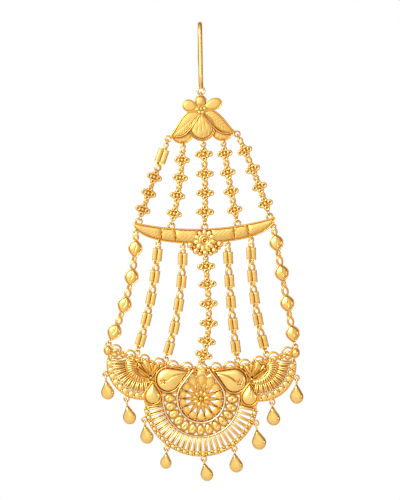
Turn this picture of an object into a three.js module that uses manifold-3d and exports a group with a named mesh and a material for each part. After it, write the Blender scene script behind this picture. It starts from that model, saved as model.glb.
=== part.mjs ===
// A forehead pendant in gold: a long hair hook, a crown plaque that hangs free in the hook's eye, five
// strands of links down to a crescent bar, seven strands from the bar to a pierced fan plaque, and nine drops
// along the fan's rim. Everything is drawn as it is seen from the front, in millimetres: x to the right, y up
// and z towards the viewer. The last lines turn it upright. The origin is the inside of the hook's bend.
import * as THREE from "three";
import { mergeVertices } from "three/addons/utils/BufferGeometryUtils.js";
import Module from "manifold-3d";

const wasm = await Module();
wasm.setup();

// Metal stock and clearances
const PLATE_BACK = -0.6; // the flat back of every plaque
const PLATE_FRONT = 0.15; // the front of a plaque's base sheet
const RUNNING_GAP = 0.13; // between a loop and the loop that hangs in it
const LINK = { sides: 10, wire_sides: 5 }; // a loose link or a loop that holds one
const EYE_FACETS = { sides: 12, wire_sides: 6 };
const SOLDERED = { sides: 8, wire_sides: 3 }; // a ring or eyelet soldered to a plaque or a drop
const TRIM = 0.02; // a finished solid leaves out what stands out by less than this

// Hook
const HOOK_WIRE = 0.82; // radius
const HOOK_GAP = 6.0; // clear width inside the bend
const HOOK_LENGTH = 24.9; // from the inside of the bend to the centre of the eye
const HOOK_BACK_LEG = 13.5;
const HOOK_TIP_FLARE = 1.2;
const HOOK_LEAN = 0.4; // how far the eye stands to the right of the bend
const EYE = { radius: 1.3, wire: 0.38 };

// Crown plaque, measured from the crossing of its two big leaves
const CROWN_BELOW_EYE = 8.6;
const CROWN_TILT = 4; // degrees, right side up
const CROWN_LEAF = { span: 12.3, fall: 7.8, rise: 1.25 };
const CROWN_DROP = { radius: 4.8, tip: 5.5, rise: 1.9 };
const CROWN_SCALLOP = { width: 3.9, fall: 3.6 };
const CROWN_BUD = { width: 1.9, height: 2.5, rise: 1.3 };
const CROWN_KNOT = { radius: 1.15, rise: 1.6 };
const CROWN_STEM = { width: 1.4, sunk: 1.8 }; // how far it runs down behind the knot
const CROWN_BOWS = [
  { side: -1, reach: 4.5, radius: 1.8, rise: 1.0 },
  { side: 1, reach: 5.6, radius: 2.1, rise: 1.0 },
];
const CROWN_BOW_LIFT = 3.5;
const BAIL = { radius: 1.0, wire: 0.3 };
const CORNER_RING = { radius: 1.05, wire: 0.3 };

// Crescent bar, measured from the middle of its boss
const BAR_CENTRE = { x: 1.9, y: -81.5 };
const BAR_TILT = 2.1;
const BAR_HALF = 26.6;
const BAR_TOP = { middle: 4.2, end: 7.6 };
const BAR_DEPTH = 5.0; // height of the bar beside its boss
const BAR_TAPER = 5; // the higher, the nearer to its ends the bar narrows
const BAR_LEAF_RISE = 0.75;
const BOSS = { radius: 3.1, rise: 1.9 };
const FLORET = { radius: 1.35, rise: 0.9 };
const FLORET_REACH = 5.3; // from the boss to the florets below it
const BAR_RING = { radius: 1.1, wire: 0.3 };

// Fan plaque, measured from the middle of its rosette
const FAN_CENTRE = { x: 0.4, y: -141.3 };
const FAN_TILT = -0.8;
const ROSETTE = { radius: 8.8, tip: 11.6, wire: 0.5, gaps: 12, heart: 1.3 };
const PETALS = { count: 13, radius: 14.4, wire: 0.45, rise: 0.85 };
const RIM = { radius: 21.9, width: 2.1, corners: 14, start: 191, end: 349 };
const RAYS = { count: 24, inset: 0.7 }; // pierced between the petals' ring and the rim
const RIB_BAND = { inner: 3.8, outer: 7.0, rise: 1.1, parts: 6, start: 170, end: 280 };
const WING = { x: 22.2, y: 12.9, radius: 13.7, width: 1.4, corners: 6, start: 178, end: 266 };
const WING_RAYS = { count: 7, inset: 0.7, end: 258 }; // pierced between the rib band and the wing's rim
const TOP_EDGE = { middle: 11.4, bend: 82 };
const ARCHES = { pitch: 5.43, radius: 2.4, wire: 0.6 }; // as many as fit between the ends of the top edge
const PAISLEY = { x: 12.6, y: 7.1, radius: 4.7, tip: 8.9, rise: 1.7, turn: 23 };
const SIDE_DROP = { x: 18.0, y: 0.7, radius: 3.0, tip: 5.6, rise: 1.3 };
const END_KNOB = { radius: 1.5, rise: 1.0, below: 1.2 }; // below the top edge
const FAN_RING = { radius: 0.95, wire: 0.26 };
const POST_WIDTH = 0.55; // the stalk of a ring between two arches

// Where the lower strands are held: how many arches in from the end of a side, or on the middle arch, and how
// far above the top edge
const SEATS = [
  { side: -1, arches_in: 0, lift: 1.2 },
  { side: -1, arches_in: 2, lift: 2.2 },
  { side: -1, arches_in: 4, lift: 2.2 },
  { side: 0, arches_in: 0, lift: ARCHES.radius + 0.3 },
  { side: 1, arches_in: 4, lift: 2.2 },
  { side: 1, arches_in: 2, lift: 2.2 },
  { side: 1, arches_in: 0, lift: 1.2 },
];

// Links
const LINK_RING = { radius: 0.85, wire: 0.22 };
const EYELET = { radius: 0.78, wire: 0.25 };
const TUBE_RADIUS = 0.42; // the short tube between two links
const JOINT_SINK = 0.3; // how deep a ring or a tube sinks into what it is soldered to
const QUATREFOIL = { reach: 1.8, wide_reach: 2.3, core: 1.5, lobe: 1.05, thick: 1.5 };
const BARREL = { width: 3.1, length: 4.6, thick: 1.2 };
const LEAF_LINK = { radius: 2.6, tip: 3.9, thick: 1.7 };

// Drops on the fan's rim: where each ring stands, as an angle on its rim, and how far the drop leans
const DROP = { radius: 2.45, tip: 4.7, flat: 0.72, bail: 1.8 };
const DROPS = [
  { rim: "left", angle: 196, lean: 7 },
  { rim: "left", angle: 246, lean: 10 },
  { rim: "middle", angle: 201, lean: 9 },
  { rim: "middle", angle: 236, lean: -4 },
  { rim: "middle", angle: 273.5, lean: 13 },
  { rim: "middle", angle: 304.5, lean: 7 },
  { rim: "middle", angle: 337, lean: 10 },
  { rim: "right", angle: 289, lean: 5 },
  { rim: "right", angle: 342, lean: 0 },
];

const radians = THREE.MathUtils.degToRad;
const at = (angle, radius, x = 0, y = 0) =>
  new THREE.Vector2(x + radius * Math.cos(radians(angle)), y + radius * Math.sin(radians(angle)));
const range = (count) => Array.from({ length: count }, (_, i) => i);
const PLATE_Z = HOOK_GAP / 2 + HOOK_WIRE; // the plane of the front leg, the plaques and the strands

// Closed geometry as a solid, and several solids soldered or cut into one
function solid(geometry) {
  geometry.deleteAttribute("normal");
  geometry.deleteAttribute("uv");
  const merged = mergeVertices(geometry, 1e-4);
  const vertProperties = merged.attributes.position.array;
  const triVerts = new Uint32Array(merged.index.array);
  return new wasm.Manifold(new wasm.Mesh({ numProp: 3, vertProperties, triVerts }));
}

const soldered = (pieces) => wasm.Manifold.union(pieces);

function turned(piece, x, y, degrees = 0, z = 0) {
  return piece.rotate([0, 0, degrees]).translate([x, y, z]);
}

// Flat and domed forms on an outline, which may run either way
function counterclockwise(outline) {
  return THREE.ShapeUtils.isClockWise(outline) ? outline.slice().reverse() : outline;
}

function plate(outline, back, front, holes = []) {
  const shape = new THREE.Shape(counterclockwise(outline));
  shape.holes = holes.map((hole) => new THREE.Path(hole));
  const geometry = new THREE.ExtrudeGeometry(shape, { depth: front - back, bevelEnabled: false });
  return solid(geometry.translate(0, 0, back));
}

// A narrow upright strip
function upright({ x, width, from, to }, front, back = PLATE_BACK) {
  const [left, right] = [x - width / 2, x + width / 2];
  const corners = [[left, from], [right, from], [right, to], [left, to]];
  return plate(corners.map(([px, py]) => new THREE.Vector2(px, py)), back, front);
}

// The outline rises through steps, each drawn in towards the focus to a share of its size
function domed(outline, focus, back, steps) {
  const loop = counterclockwise(outline);
  const n = loop.length;
  const levels = [{ share: 1, z: back }, ...steps];
  const corners = levels.flatMap(({ share, z }) =>
    loop.flatMap((p) => [focus.x + (p.x - focus.x) * share, focus.y + (p.y - focus.y) * share, z]),
  );
  const faces = THREE.ShapeUtils.triangulateShape(loop, []).flatMap(([a, b, c]) => {
    const top = (levels.length - 1) * n;
    return [a, c, b, top + a, top + b, top + c];
  });
  range(levels.length - 1).forEach((k) =>
    range(n).forEach((i) => {
      const [a, b] = [k * n + i, k * n + ((i + 1) % n)];
      faces.push(a, b, a + n, b, b + n, a + n);
    }),
  );
  const geometry = new THREE.BufferGeometry();
  geometry.setAttribute("position", new THREE.Float32BufferAttribute(corners, 3));
  geometry.setIndex(faces);
  return solid(geometry);
}

// Steps of a full dome and of a small one
const pillow = (rise) => [
  { share: 1, z: rise * 0.3 },
  { share: 0.8, z: rise * 0.8 },
  { share: 0.42, z: rise },
];
const button = (rise) => [
  { share: 0.96, z: rise * 0.5 },
  { share: 0.5, z: rise },
];

// Outlines
const circle = (radius, count, x = 0, y = 0) => range(count).map((i) => at((i * 360) / count, radius, x, y));

// A round form that runs up to a point, the tip that far from the middle of the round end
function dropOutline(radius, tip, count) {
  const open = THREE.MathUtils.radToDeg(Math.acos(radius / tip));
  const arc = range(count).map((i) => at(90 + open + (i * (360 - 2 * open)) / (count - 1), radius));
  return [...arc, new THREE.Vector2(0, tip)];
}

function placed(outline, x, y, degrees = 0, mirror = 1) {
  return outline.map((p) => {
    const q = p.clone().rotateAround(new THREE.Vector2(), radians(degrees));
    return new THREE.Vector2(mirror * q.x + x, q.y + y);
  });
}

// Two smooth edges between the same two points
function leafOutline(upper, lower, steps) {
  const edge = (points) => new THREE.SplineCurve(points).getPoints(steps).slice(0, -1);
  return [...edge(upper), ...edge(lower)];
}

// Wire loops: face-on to the viewer, or edge-on
function ring({ radius, wire }, x, y, { sides, wire_sides } = SOLDERED) {
  const across = radius / Math.cos(Math.PI / sides); // the flats at top and bottom lie on the named radius
  const loop = solid(new THREE.TorusGeometry(across, wire, wire_sides, sides));
  return turned(loop, x, y, 90 + 180 / sides);
}

function eyelet(size, x, y, facets = SOLDERED) {
  return ring(size, 0, 0, facets).rotate([0, 90, 0]).translate([x, y, 0]);
}

// A round wire through points that lie in one plane, which side is square to
function wire(points, radius, sides, side, closed = false, tip = 1) {
  const n = points.length;
  const corners = points.flatMap((p, i) => {
    const before = points[closed ? (i + n - 1) % n : Math.max(i - 1, 0)];
    const after = points[closed ? (i + 1) % n : Math.min(i + 1, n - 1)];
    const out = side.clone().cross(after.clone().sub(before)).normalize();
    const r = i === n - 1 ? radius * tip : radius;
    return range(sides).flatMap((k) => {
      const a = (2 * Math.PI * k) / sides;
      return p.clone().addScaledVector(side, r * Math.cos(a)).addScaledVector(out, r * Math.sin(a)).toArray();
    });
  });
  const faces = [];
  range(closed ? n : n - 1).forEach((i) =>
    range(sides).forEach((k) => {
      const [a, b] = [i * sides + k, i * sides + ((k + 1) % sides)];
      const [c, d] = [a, b].map((j) => (j + sides) % (n * sides));
      faces.push(a, c, b, b, c, d);
    }),
  );
  const last = (n - 1) * sides;
  if (!closed) range(sides - 2).forEach((k) => faces.push(0, k + 1, k + 2, last, last + k + 2, last + k + 1));
  const geometry = new THREE.BufferGeometry();
  geometry.setAttribute("position", new THREE.Float32BufferAttribute(corners, 3));
  geometry.setIndex(faces);
  return solid(geometry);
}

// Hook: one length of wire, bent over at the top and closed into an eye below
const EYE_CENTRE = { x: HOOK_LEAN, y: -HOOK_LENGTH };
const PIVOT = { x: EYE_CENTRE.x, y: EYE_CENTRE.y - EYE.radius };

function hook() {
  const bend = HOOK_GAP / 2 + HOOK_WIRE;
  const springing = -HOOK_GAP / 2;
  const foot = new THREE.Vector3(EYE_CENTRE.x, EYE_CENTRE.y + EYE.radius, bend);
  const arc = range(7).map((i) => {
    const a = (Math.PI * i) / 6;
    return new THREE.Vector3(0, springing + bend * Math.sin(a), bend * Math.cos(a));
  });
  const heel = new THREE.Vector3(0, springing - HOOK_BACK_LEG * 0.75, -bend);
  const tip = new THREE.Vector3(0, springing - HOOK_BACK_LEG, -bend - HOOK_TIP_FLARE);
  const shaft = wire([foot, ...arc, heel, tip], HOOK_WIRE, 8, new THREE.Vector3(1, 0, 0), false, 0.5);
  const eye = ring(EYE, EYE_CENTRE.x, EYE_CENTRE.y, EYE_FACETS).translate([0, 0, bend]);
  return soldered([shaft, eye]);
}

// Crown plaque
const CROWN_CENTRE = { x: EYE_CENTRE.x, y: EYE_CENTRE.y - CROWN_BELOW_EYE };
const CROWN_CORNER = {
  x: CROWN_LEAF.span + CORNER_RING.radius * 0.75,
  y: -CROWN_LEAF.fall - CORNER_RING.radius * 0.75,
};
const SCALLOP_FOOT = { x: CROWN_LEAF.span * 0.62, y: -CROWN_LEAF.fall * 0.9 - CROWN_SCALLOP.fall };
const CROWN_EYELETS = [
  { x: -SCALLOP_FOOT.x, y: SCALLOP_FOOT.y - EYELET.radius / 2 },
  { x: 0, y: -CROWN_DROP.tip - CROWN_DROP.radius - EYELET.radius / 2 },
  { x: SCALLOP_FOOT.x, y: SCALLOP_FOOT.y - EYELET.radius / 2 },
];

function crownLeaf(side) {
  const share = ([x, y]) => new THREE.Vector2(side * x * CROWN_LEAF.span, y * CROWN_LEAF.fall);
  const upper = [[0.02, 0], [0.4, 0.15], [0.64, -0.14], [0.84, -0.62], [1, -1]];
  const lower = [[1, -1], [0.78, -1.06], [0.57, -0.95], [0.41, -0.66], [0.02, 0]];
  return leafOutline(upper.map(share), lower.map(share), 5);
}

function crown() {
  const pieces = [];
  [-1, 1].forEach((side) => {
    const focus = new THREE.Vector2(side * CROWN_LEAF.span * 0.55, -CROWN_LEAF.fall * 0.45);
    pieces.push(domed(crownLeaf(side), focus, PLATE_BACK + 0.2, button(CROWN_LEAF.rise)));
    const scallop = range(9).map((i) => {
      const a = Math.PI + (Math.PI * i) / 8;
      const y = SCALLOP_FOOT.y + CROWN_SCALLOP.fall * (1 + Math.sin(a));
      return new THREE.Vector2(side * SCALLOP_FOOT.x + CROWN_SCALLOP.width * Math.cos(a), y);
    });
    scallop.push(new THREE.Vector2(side * CROWN_LEAF.span * 0.55, -CROWN_LEAF.fall * 0.5));
    pieces.push(plate(scallop, PLATE_BACK, PLATE_FRONT));
    pieces.push(ring(CORNER_RING, side * CROWN_CORNER.x, CROWN_CORNER.y));
  });
  const middle = new THREE.Vector2(0, -CROWN_DROP.tip);
  const drop = placed(dropOutline(CROWN_DROP.radius, CROWN_DROP.tip, 12), middle.x, middle.y);
  pieces.push(domed(drop, middle, PLATE_BACK, pillow(CROWN_DROP.rise)));
  CROWN_BOWS.forEach(({ side, reach, radius, rise }) => {
    const lean = THREE.MathUtils.radToDeg(Math.atan2(reach, CROWN_BOW_LIFT));
    const outline = dropOutline(radius, Math.hypot(reach, CROWN_BOW_LIFT), 9);
    const bow = placed(outline, side * reach, CROWN_BOW_LIFT, side * (180 - lean));
    pieces.push(domed(bow, new THREE.Vector2(side * reach, CROWN_BOW_LIFT), PLATE_BACK, button(rise)));
  });
  const budY = CROWN_BELOW_EYE - EYE.radius - BAIL.radius - CROWN_BUD.height;
  const size = new THREE.Vector2(CROWN_BUD.width, CROWN_BUD.height);
  const bud = circle(1, 8).map((p) => p.multiply(size).add(new THREE.Vector2(0, budY)));
  pieces.push(domed(bud, new THREE.Vector2(0, budY), PLATE_BACK, button(CROWN_BUD.rise)));
  const knotY = (budY - CROWN_BUD.height) / 2;
  const knot = circle(CROWN_KNOT.radius, 8, 0, knotY);
  pieces.push(domed(knot, new THREE.Vector2(0, knotY), PLATE_BACK, button(CROWN_KNOT.rise)));
  const stem = { x: 0, width: CROWN_STEM.width, from: knotY - CROWN_STEM.sunk, to: budY };
  pieces.push(upright(stem, PLATE_FRONT + 0.3));
  CROWN_EYELETS.forEach(({ x, y }) => pieces.push(eyelet(EYELET, x, y)));
  return turned(soldered(pieces), CROWN_CENTRE.x, CROWN_CENTRE.y, CROWN_TILT).add(bail());
}

// The bail hangs over the bottom of the hook's eye and stands edge-on
function bail() {
  const y = PIVOT.y + EYE.wire + RUNNING_GAP + BAIL.wire - BAIL.radius;
  return eyelet(BAIL, PIVOT.x, y, LINK);
}

// Crescent bar
const barTop = (x) => BAR_TOP.middle + (BAR_TOP.end - BAR_TOP.middle) * (x / BAR_HALF) ** 2;
const barDepth = (x) => BAR_DEPTH * Math.sqrt(Math.max(0, 1 - Math.abs(x / BAR_HALF) ** BAR_TAPER));
const barBottom = (x) => barTop(x) - barDepth(x);
const BAR_RINGS = [-0.93, -0.47, 0, 0.47, 0.93].map((share) => {
  const x = share * BAR_HALF;
  return { x, y: barTop(x) + BAR_RING.radius };
});
const BAR_EYELETS = [-0.975, -0.66, -0.32, 0, 0.32, 0.66, 0.975].map((share) => {
  const x = share * BAR_HALF;
  return { x, y: (share ? barBottom(Math.abs(x)) : -FLORET_REACH) - EYELET.radius / 2 };
});

function bar() {
  const shares = [0.1, 0.3, 0.5, 0.7, 0.85, 0.95];
  const upper = [-1, ...shares.map((s) => -s).reverse(), ...shares, 1].map((s) => {
    return new THREE.Vector2(s * BAR_HALF, barTop(s * BAR_HALF));
  });
  const lower = [...shares.slice().reverse(), ...shares.map((s) => -s)].map((s) => {
    return new THREE.Vector2(s * BAR_HALF, barBottom(Math.abs(s * BAR_HALF)));
  });
  const pieces = [plate([...upper, ...lower], PLATE_BACK, PLATE_FRONT)];
  const panels = [[0.12, 0.27, 0.4], [0.42, 0.6], [0.62, 0.72, 0.84, 0.96]];
  [-1, 1].forEach((side) =>
    panels.forEach((panel) => {
      const inset = 0.35;
      const top = panel.map((s) => new THREE.Vector2(side * s * BAR_HALF, barTop(s * BAR_HALF) - inset));
      const under = panel.map((s) => new THREE.Vector2(side * s * BAR_HALF, barBottom(s * BAR_HALF) + inset));
      const outline = [...top, ...under.reverse()];
      const focus = outline.reduce((a, p) => a.add(p), new THREE.Vector2()).divideScalar(outline.length);
      pieces.push(domed(outline, focus, -0.2, [{ share: 0.85, z: BAR_LEAF_RISE }]));
    }),
  );
  const centre = new THREE.Vector2(0, 0);
  pieces.push(domed(circle(BOSS.radius, 12), centre, PLATE_BACK, pillow(BOSS.rise)));
  const skirt = range(7).map((i) => at(180 + i * 30, FLORET_REACH));
  pieces.push(plate(skirt, PLATE_BACK, PLATE_FRONT));
  range(5).forEach((i) => {
    const p = at(198 + i * 36, FLORET_REACH - FLORET.radius * 0.55);
    const steps = [{ share: 0.55, z: FLORET.rise }];
    pieces.push(domed(circle(FLORET.radius, 6, p.x, p.y), p, PLATE_BACK + 0.1, steps));
  });
  BAR_RINGS.forEach(({ x, y }) => pieces.push(ring(BAR_RING, x, y)));
  BAR_EYELETS.forEach(({ x, y }) => pieces.push(eyelet(EYELET, x, y)));
  return turned(soldered(pieces), BAR_CENTRE.x, BAR_CENTRE.y, BAR_TILT);
}

// Fan plaque
const topEdge = (x) => TOP_EDGE.middle + (x * x) / (2 * TOP_EDGE.bend);
const FAN_HALF = WING.x + WING.radius;
const ARCHES_A_SIDE = Math.floor((FAN_HALF - ARCHES.radius) / ARCHES.pitch); // beside the middle one
const RIMS = {
  left: { x: -WING.x, y: WING.y, radius: WING.radius },
  middle: { x: 0, y: 0, radius: RIM.radius },
  right: { x: WING.x, y: WING.y, radius: WING.radius },
};

// Edge of a sector
function rimEdge(centre, radius, start, end, count) {
  return range(count + 1).map((i) => at(start + (i * (end - start)) / count, radius, centre.x, centre.y));
}

// Pierced gaps between the rays of a sector
function gaps(centre, { from, to }, { start, end, count, open = 0.58 }) {
  const step = (end - start) / count;
  return range(count).map((i) => {
    const middle = start + (i + 0.5) * step;
    const half = (step * open) / 2;
    const corners = [[middle - half, to], [middle + half, to], [middle + half, from], [middle - half, from]];
    return corners.map(([angle, radius]) => at(angle, radius, centre.x, centre.y));
  });
}

const mirrored = (points) => points.map((p) => new THREE.Vector2(-p.x, p.y)).reverse();

function fanSheet() {
  const left = rimEdge(RIMS.left, WING.radius, WING.start, WING.end, WING.corners);
  const middle = rimEdge(RIMS.middle, RIM.radius, RIM.start, RIM.end, RIM.corners);
  const arches = range(ARCHES_A_SIDE * 2 + 1).map((i) => (ARCHES_A_SIDE - i) * ARCHES.pitch);
  const arc = (x, radius) => [8, 60, 120, 172].map((angle) => at(angle, radius, x, topEdge(x)));
  const shoulder = new THREE.Vector2(FAN_HALF, topEdge(FAN_HALF));
  const top = arches.flatMap((x) => arc(x, ARCHES.radius));
  const outline = [...left, ...middle, ...mirrored(left), shoulder, ...top, ...mirrored([shoulder])];
  const wing = gaps(
    RIMS.left, { from: RIB_BAND.outer + WING_RAYS.inset, to: WING.radius - WING.width },
    { start: WING.start, end: WING_RAYS.end, count: WING_RAYS.count },
  );
  const rosette = gaps(
    RIMS.middle, { from: ROSETTE.radius * 0.42, to: ROSETTE.radius * 0.8 },
    { start: 0, end: 360, count: ROSETTE.gaps, open: 0.5 },
  );
  const rays = gaps(
    RIMS.middle, { from: PETALS.radius + RAYS.inset, to: RIM.radius - RIM.width },
    { start: RIM.start, end: RIM.end, count: RAYS.count },
  );
  const open = arches.map((x) => arc(x, ARCHES.radius - ARCHES.wire));
  const pierced = [...wing, ...wing.map(mirrored), ...rosette, ...rays, ...open];
  return plate(outline, PLATE_BACK, PLATE_FRONT, pierced);
}

function fanDomes() {
  const pieces = [];
  const inner = ROSETTE.radius + ROSETTE.wire;
  const depth = PETALS.radius - inner;
  range(PETALS.count).forEach((i) => {
    const angle = 180 + (i * 180) / (PETALS.count - 1);
    const p = at(angle, inner + depth * 0.58);
    const outline = placed(dropOutline(depth * 0.36, depth * 0.58, 5), p.x, p.y, angle + 90);
    pieces.push(domed(outline, p, -0.2, [{ share: 0.45, z: PETALS.rise }]));
  });
  const heart = ROSETTE.radius * 0.3;
  pieces.push(domed(circle(heart, 10), new THREE.Vector2(), -0.2, button(ROSETTE.heart)));
  [-1, 1].forEach((side) => {
    const drop = dropOutline(PAISLEY.radius, PAISLEY.tip, 12);
    const paisley = placed(drop, side * PAISLEY.x, PAISLEY.y, -(90 - PAISLEY.turn), -side);
    const heartOfPaisley = new THREE.Vector2(side * PAISLEY.x, PAISLEY.y);
    pieces.push(domed(paisley, heartOfPaisley, PLATE_BACK + 0.1, button(PAISLEY.rise)));
    const small = placed(dropOutline(SIDE_DROP.radius, SIDE_DROP.tip, 10), side * SIDE_DROP.x, SIDE_DROP.y);
    const heartOfDrop = new THREE.Vector2(side * SIDE_DROP.x, SIDE_DROP.y);
    pieces.push(domed(small, heartOfDrop, PLATE_BACK + 0.1, button(SIDE_DROP.rise)));
    pieces.push(ribBand(side));
    const end = at(side < 0 ? 180 : 0, WING.radius - END_KNOB.radius * 0.3, side * WING.x, WING.y);
    end.y = topEdge(end.x) - END_KNOB.below;
    pieces.push(domed(circle(END_KNOB.radius, 8, end.x, end.y), end, PLATE_BACK, button(END_KNOB.rise)));
  });
  return pieces;
}

// A raised crescent, widest and highest in the middle, round each wing's centre
function ribBand(side) {
  const { inner, outer, rise, parts, start, end } = RIB_BAND;
  const middle = (inner + outer) / 2;
  const place = (angle, radius, z) => {
    const p = at(angle, radius);
    return [side * (WING.x - p.x), WING.y + p.y, z];
  };
  const corners = range(parts + 1).flatMap((i) => {
    const angle = start + (i * (end - start)) / parts;
    const swell = Math.sin((Math.PI * (i + 0.5)) / (parts + 1));
    const half = ((outer - inner) / 2) * swell;
    const ridge = place(angle, middle, PLATE_FRONT + rise * swell);
    return [place(angle, middle + half, -0.2), ridge, place(angle, middle - half, -0.2)];
  });
  const faces = range(parts).flatMap((i) =>
    range(3).flatMap((k) => {
      const [a, b] = [i * 3 + k, i * 3 + ((k + 1) % 3)];
      return [a, b, a + 3, b, b + 3, a + 3];
    }),
  );
  faces.push(0, 2, 1, parts * 3, parts * 3 + 1, parts * 3 + 2);
  const geometry = new THREE.BufferGeometry();
  geometry.setAttribute("position", new THREE.Float32BufferAttribute(corners.flat(), 3));
  geometry.setIndex(side < 0 ? faces.reverse() : faces);
  return solid(geometry);
}

// Raised round wires that frame the rosette and the petals
function frameWire(points, radius, closed) {
  const spine = points.map((p) => new THREE.Vector3(p.x, p.y, PLATE_FRONT - 0.05));
  return wire(spine, radius, 4, new THREE.Vector3(0, 0, 1), closed);
}

function fanWires() {
  const rosette = dropOutline(ROSETTE.radius, ROSETTE.tip, 15);
  const petals = range(13).map((i) => at(176 + (i * 188) / 12, PETALS.radius));
  return [frameWire(rosette, ROSETTE.wire, true), frameWire(petals, PETALS.wire, false)];
}

const FAN_RINGS = SEATS.map(({ side, arches_in, lift }) => {
  const x = side * (ARCHES_A_SIDE + 0.5 - arches_in) * ARCHES.pitch;
  return { x, y: topEdge(x) + lift };
});
const DROP_RINGS = DROPS.map(({ rim, angle }) => {
  const { x, y, radius } = RIMS[rim];
  return at(angle, radius + FAN_RING.radius * 0.9, x, y);
});

function fan() {
  const pieces = [fanSheet(), ...fanDomes(), ...fanWires()];
  FAN_RINGS.forEach(({ x, y }) => {
    const post = { x, width: POST_WIDTH, from: topEdge(x) - 0.3, to: y - FAN_RING.radius + 0.1 };
    pieces.push(ring(FAN_RING, x, y), upright(post, 0.3, -0.3));
  });
  DROP_RINGS.forEach(({ x, y }) => pieces.push(ring(FAN_RING, x, y)));
  return turned(soldered(pieces), FAN_CENTRE.x, FAN_CENTRE.y, FAN_TILT);
}

// Link forms, each centred on the strand with its length along y
function quatrefoil(width) {
  const { reach, core, lobe, thick } = QUATREFOIL;
  const outline = [width, reach, width, reach].flatMap((out, quarter) => {
    const angle = quarter * 90;
    const round = [-68, 0, 68].map((turn) => at(angle + turn, lobe).add(at(angle, out)));
    return [...round, at(angle + 45, core)];
  });
  return domed(outline, new THREE.Vector2(), -thick * 0.45, [{ share: 0.68, z: thick * 0.55 }]);
}

// A short fluted barrel with a flat back
function barrel() {
  const [w, t] = [BARREL.width / 2, BARREL.thick / 2];
  const flutes = [[-1, -1], [1, -1], [1, 0.3], [0.6, 1], [0, 0.35], [-0.6, 1], [-1, 0.3]];
  const section = flutes.map(([x, z]) => new THREE.Vector2(x * w, z * t));
  return plate(section, -BARREL.length / 2, BARREL.length / 2).rotate([90, 0, 0]);
}

function leafLink() {
  const { radius, tip, thick } = LEAF_LINK;
  const outline = dropOutline(radius, tip, 8);
  const steps = [{ share: 1, z: thick * 0.2 }, { share: 0.5, z: thick * 0.6 }];
  return domed(outline, new THREE.Vector2(), -thick * 0.4, steps);
}

const sunk = (length) => length - JOINT_SINK;
const QUATREFOIL_END = sunk(QUATREFOIL.reach + QUATREFOIL.lobe);
const LINKS = {
  narrow: { above: QUATREFOIL_END, below: QUATREFOIL_END, make: () => quatrefoil(QUATREFOIL.reach) },
  wide: { above: QUATREFOIL_END, below: QUATREFOIL_END, make: () => quatrefoil(QUATREFOIL.wide_reach) },
  barrel: { above: sunk(BARREL.length / 2), below: sunk(BARREL.length / 2), make: barrel },
  leaf: { above: sunk(LEAF_LINK.tip), below: sunk(LEAF_LINK.radius), make: leafLink },
};

// Strands: the loop each hangs from, the loop it ends in, its links, how far it bows to the right, and the
// stem between its first ring and its first link
const QUATREFOILS = ["narrow", "narrow", "narrow", "narrow"];
const BARRELS = ["barrel", "barrel", "barrel", "barrel", "barrel"];
const LEAVES = ["leaf", "leaf", "leaf", "leaf"];
const on = (centre, degrees) => (p) => placed([new THREE.Vector2(p.x, p.y)], centre.x, centre.y, degrees)[0];
const onCrown = on(CROWN_CENTRE, CROWN_TILT);
const onBar = on(BAR_CENTRE, BAR_TILT);
const onFan = on(FAN_CENTRE, FAN_TILT);
const corner = (side) => onCrown({ x: side * CROWN_CORNER.x, y: CROWN_CORNER.y });

const WIDE_QUATREFOILS = ["wide", "wide", "wide", "wide"];
const UPPER = [
  { name: "upper_strand_1", from: corner(-1), atCorner: true, links: ["barrel", ...QUATREFOILS.slice(1)] },
  { name: "upper_strand_2", from: onCrown(CROWN_EYELETS[0]), links: QUATREFOILS },
  { name: "upper_strand_3", from: onCrown(CROWN_EYELETS[1]), links: WIDE_QUATREFOILS },
  { name: "upper_strand_4", from: onCrown(CROWN_EYELETS[2]), links: QUATREFOILS },
  { name: "upper_strand_5", from: corner(1), atCorner: true, links: QUATREFOILS, bow: 0.6 },
].map((each, i) => ({ ...each, to: onBar(BAR_RINGS[i]), end: BAR_RING }));

const LOWER = [
  { name: "lower_strand_1", links: LEAVES, bow: 2.7, stem: 2.3 },
  { name: "lower_strand_2", links: BARRELS, bow: 0.6 },
  { name: "lower_strand_3", links: BARRELS, bow: 1.2 },
  { name: "lower_strand_4", links: [...WIDE_QUATREFOILS, "wide", "wide"], bow: 2.0 },
  { name: "lower_strand_5", links: BARRELS, bow: 0 },
  { name: "lower_strand_6", links: BARRELS, bow: -0.9 },
  { name: "lower_strand_7", links: LEAVES, bow: 0, stem: 2.3 },
].map((each, i) => ({ ...each, from: onBar(BAR_EYELETS[i]), to: onFan(FAN_RINGS[i]), end: FAN_RING }));

// A short tube along the strand, its ends sunk into what it joins
function tube(length) {
  const section = new THREE.CylinderGeometry(TUBE_RADIUS, TUBE_RADIUS, length, LINK.wire_sides);
  return solid(section).translate([0, -length / 2, 0]);
}

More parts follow.
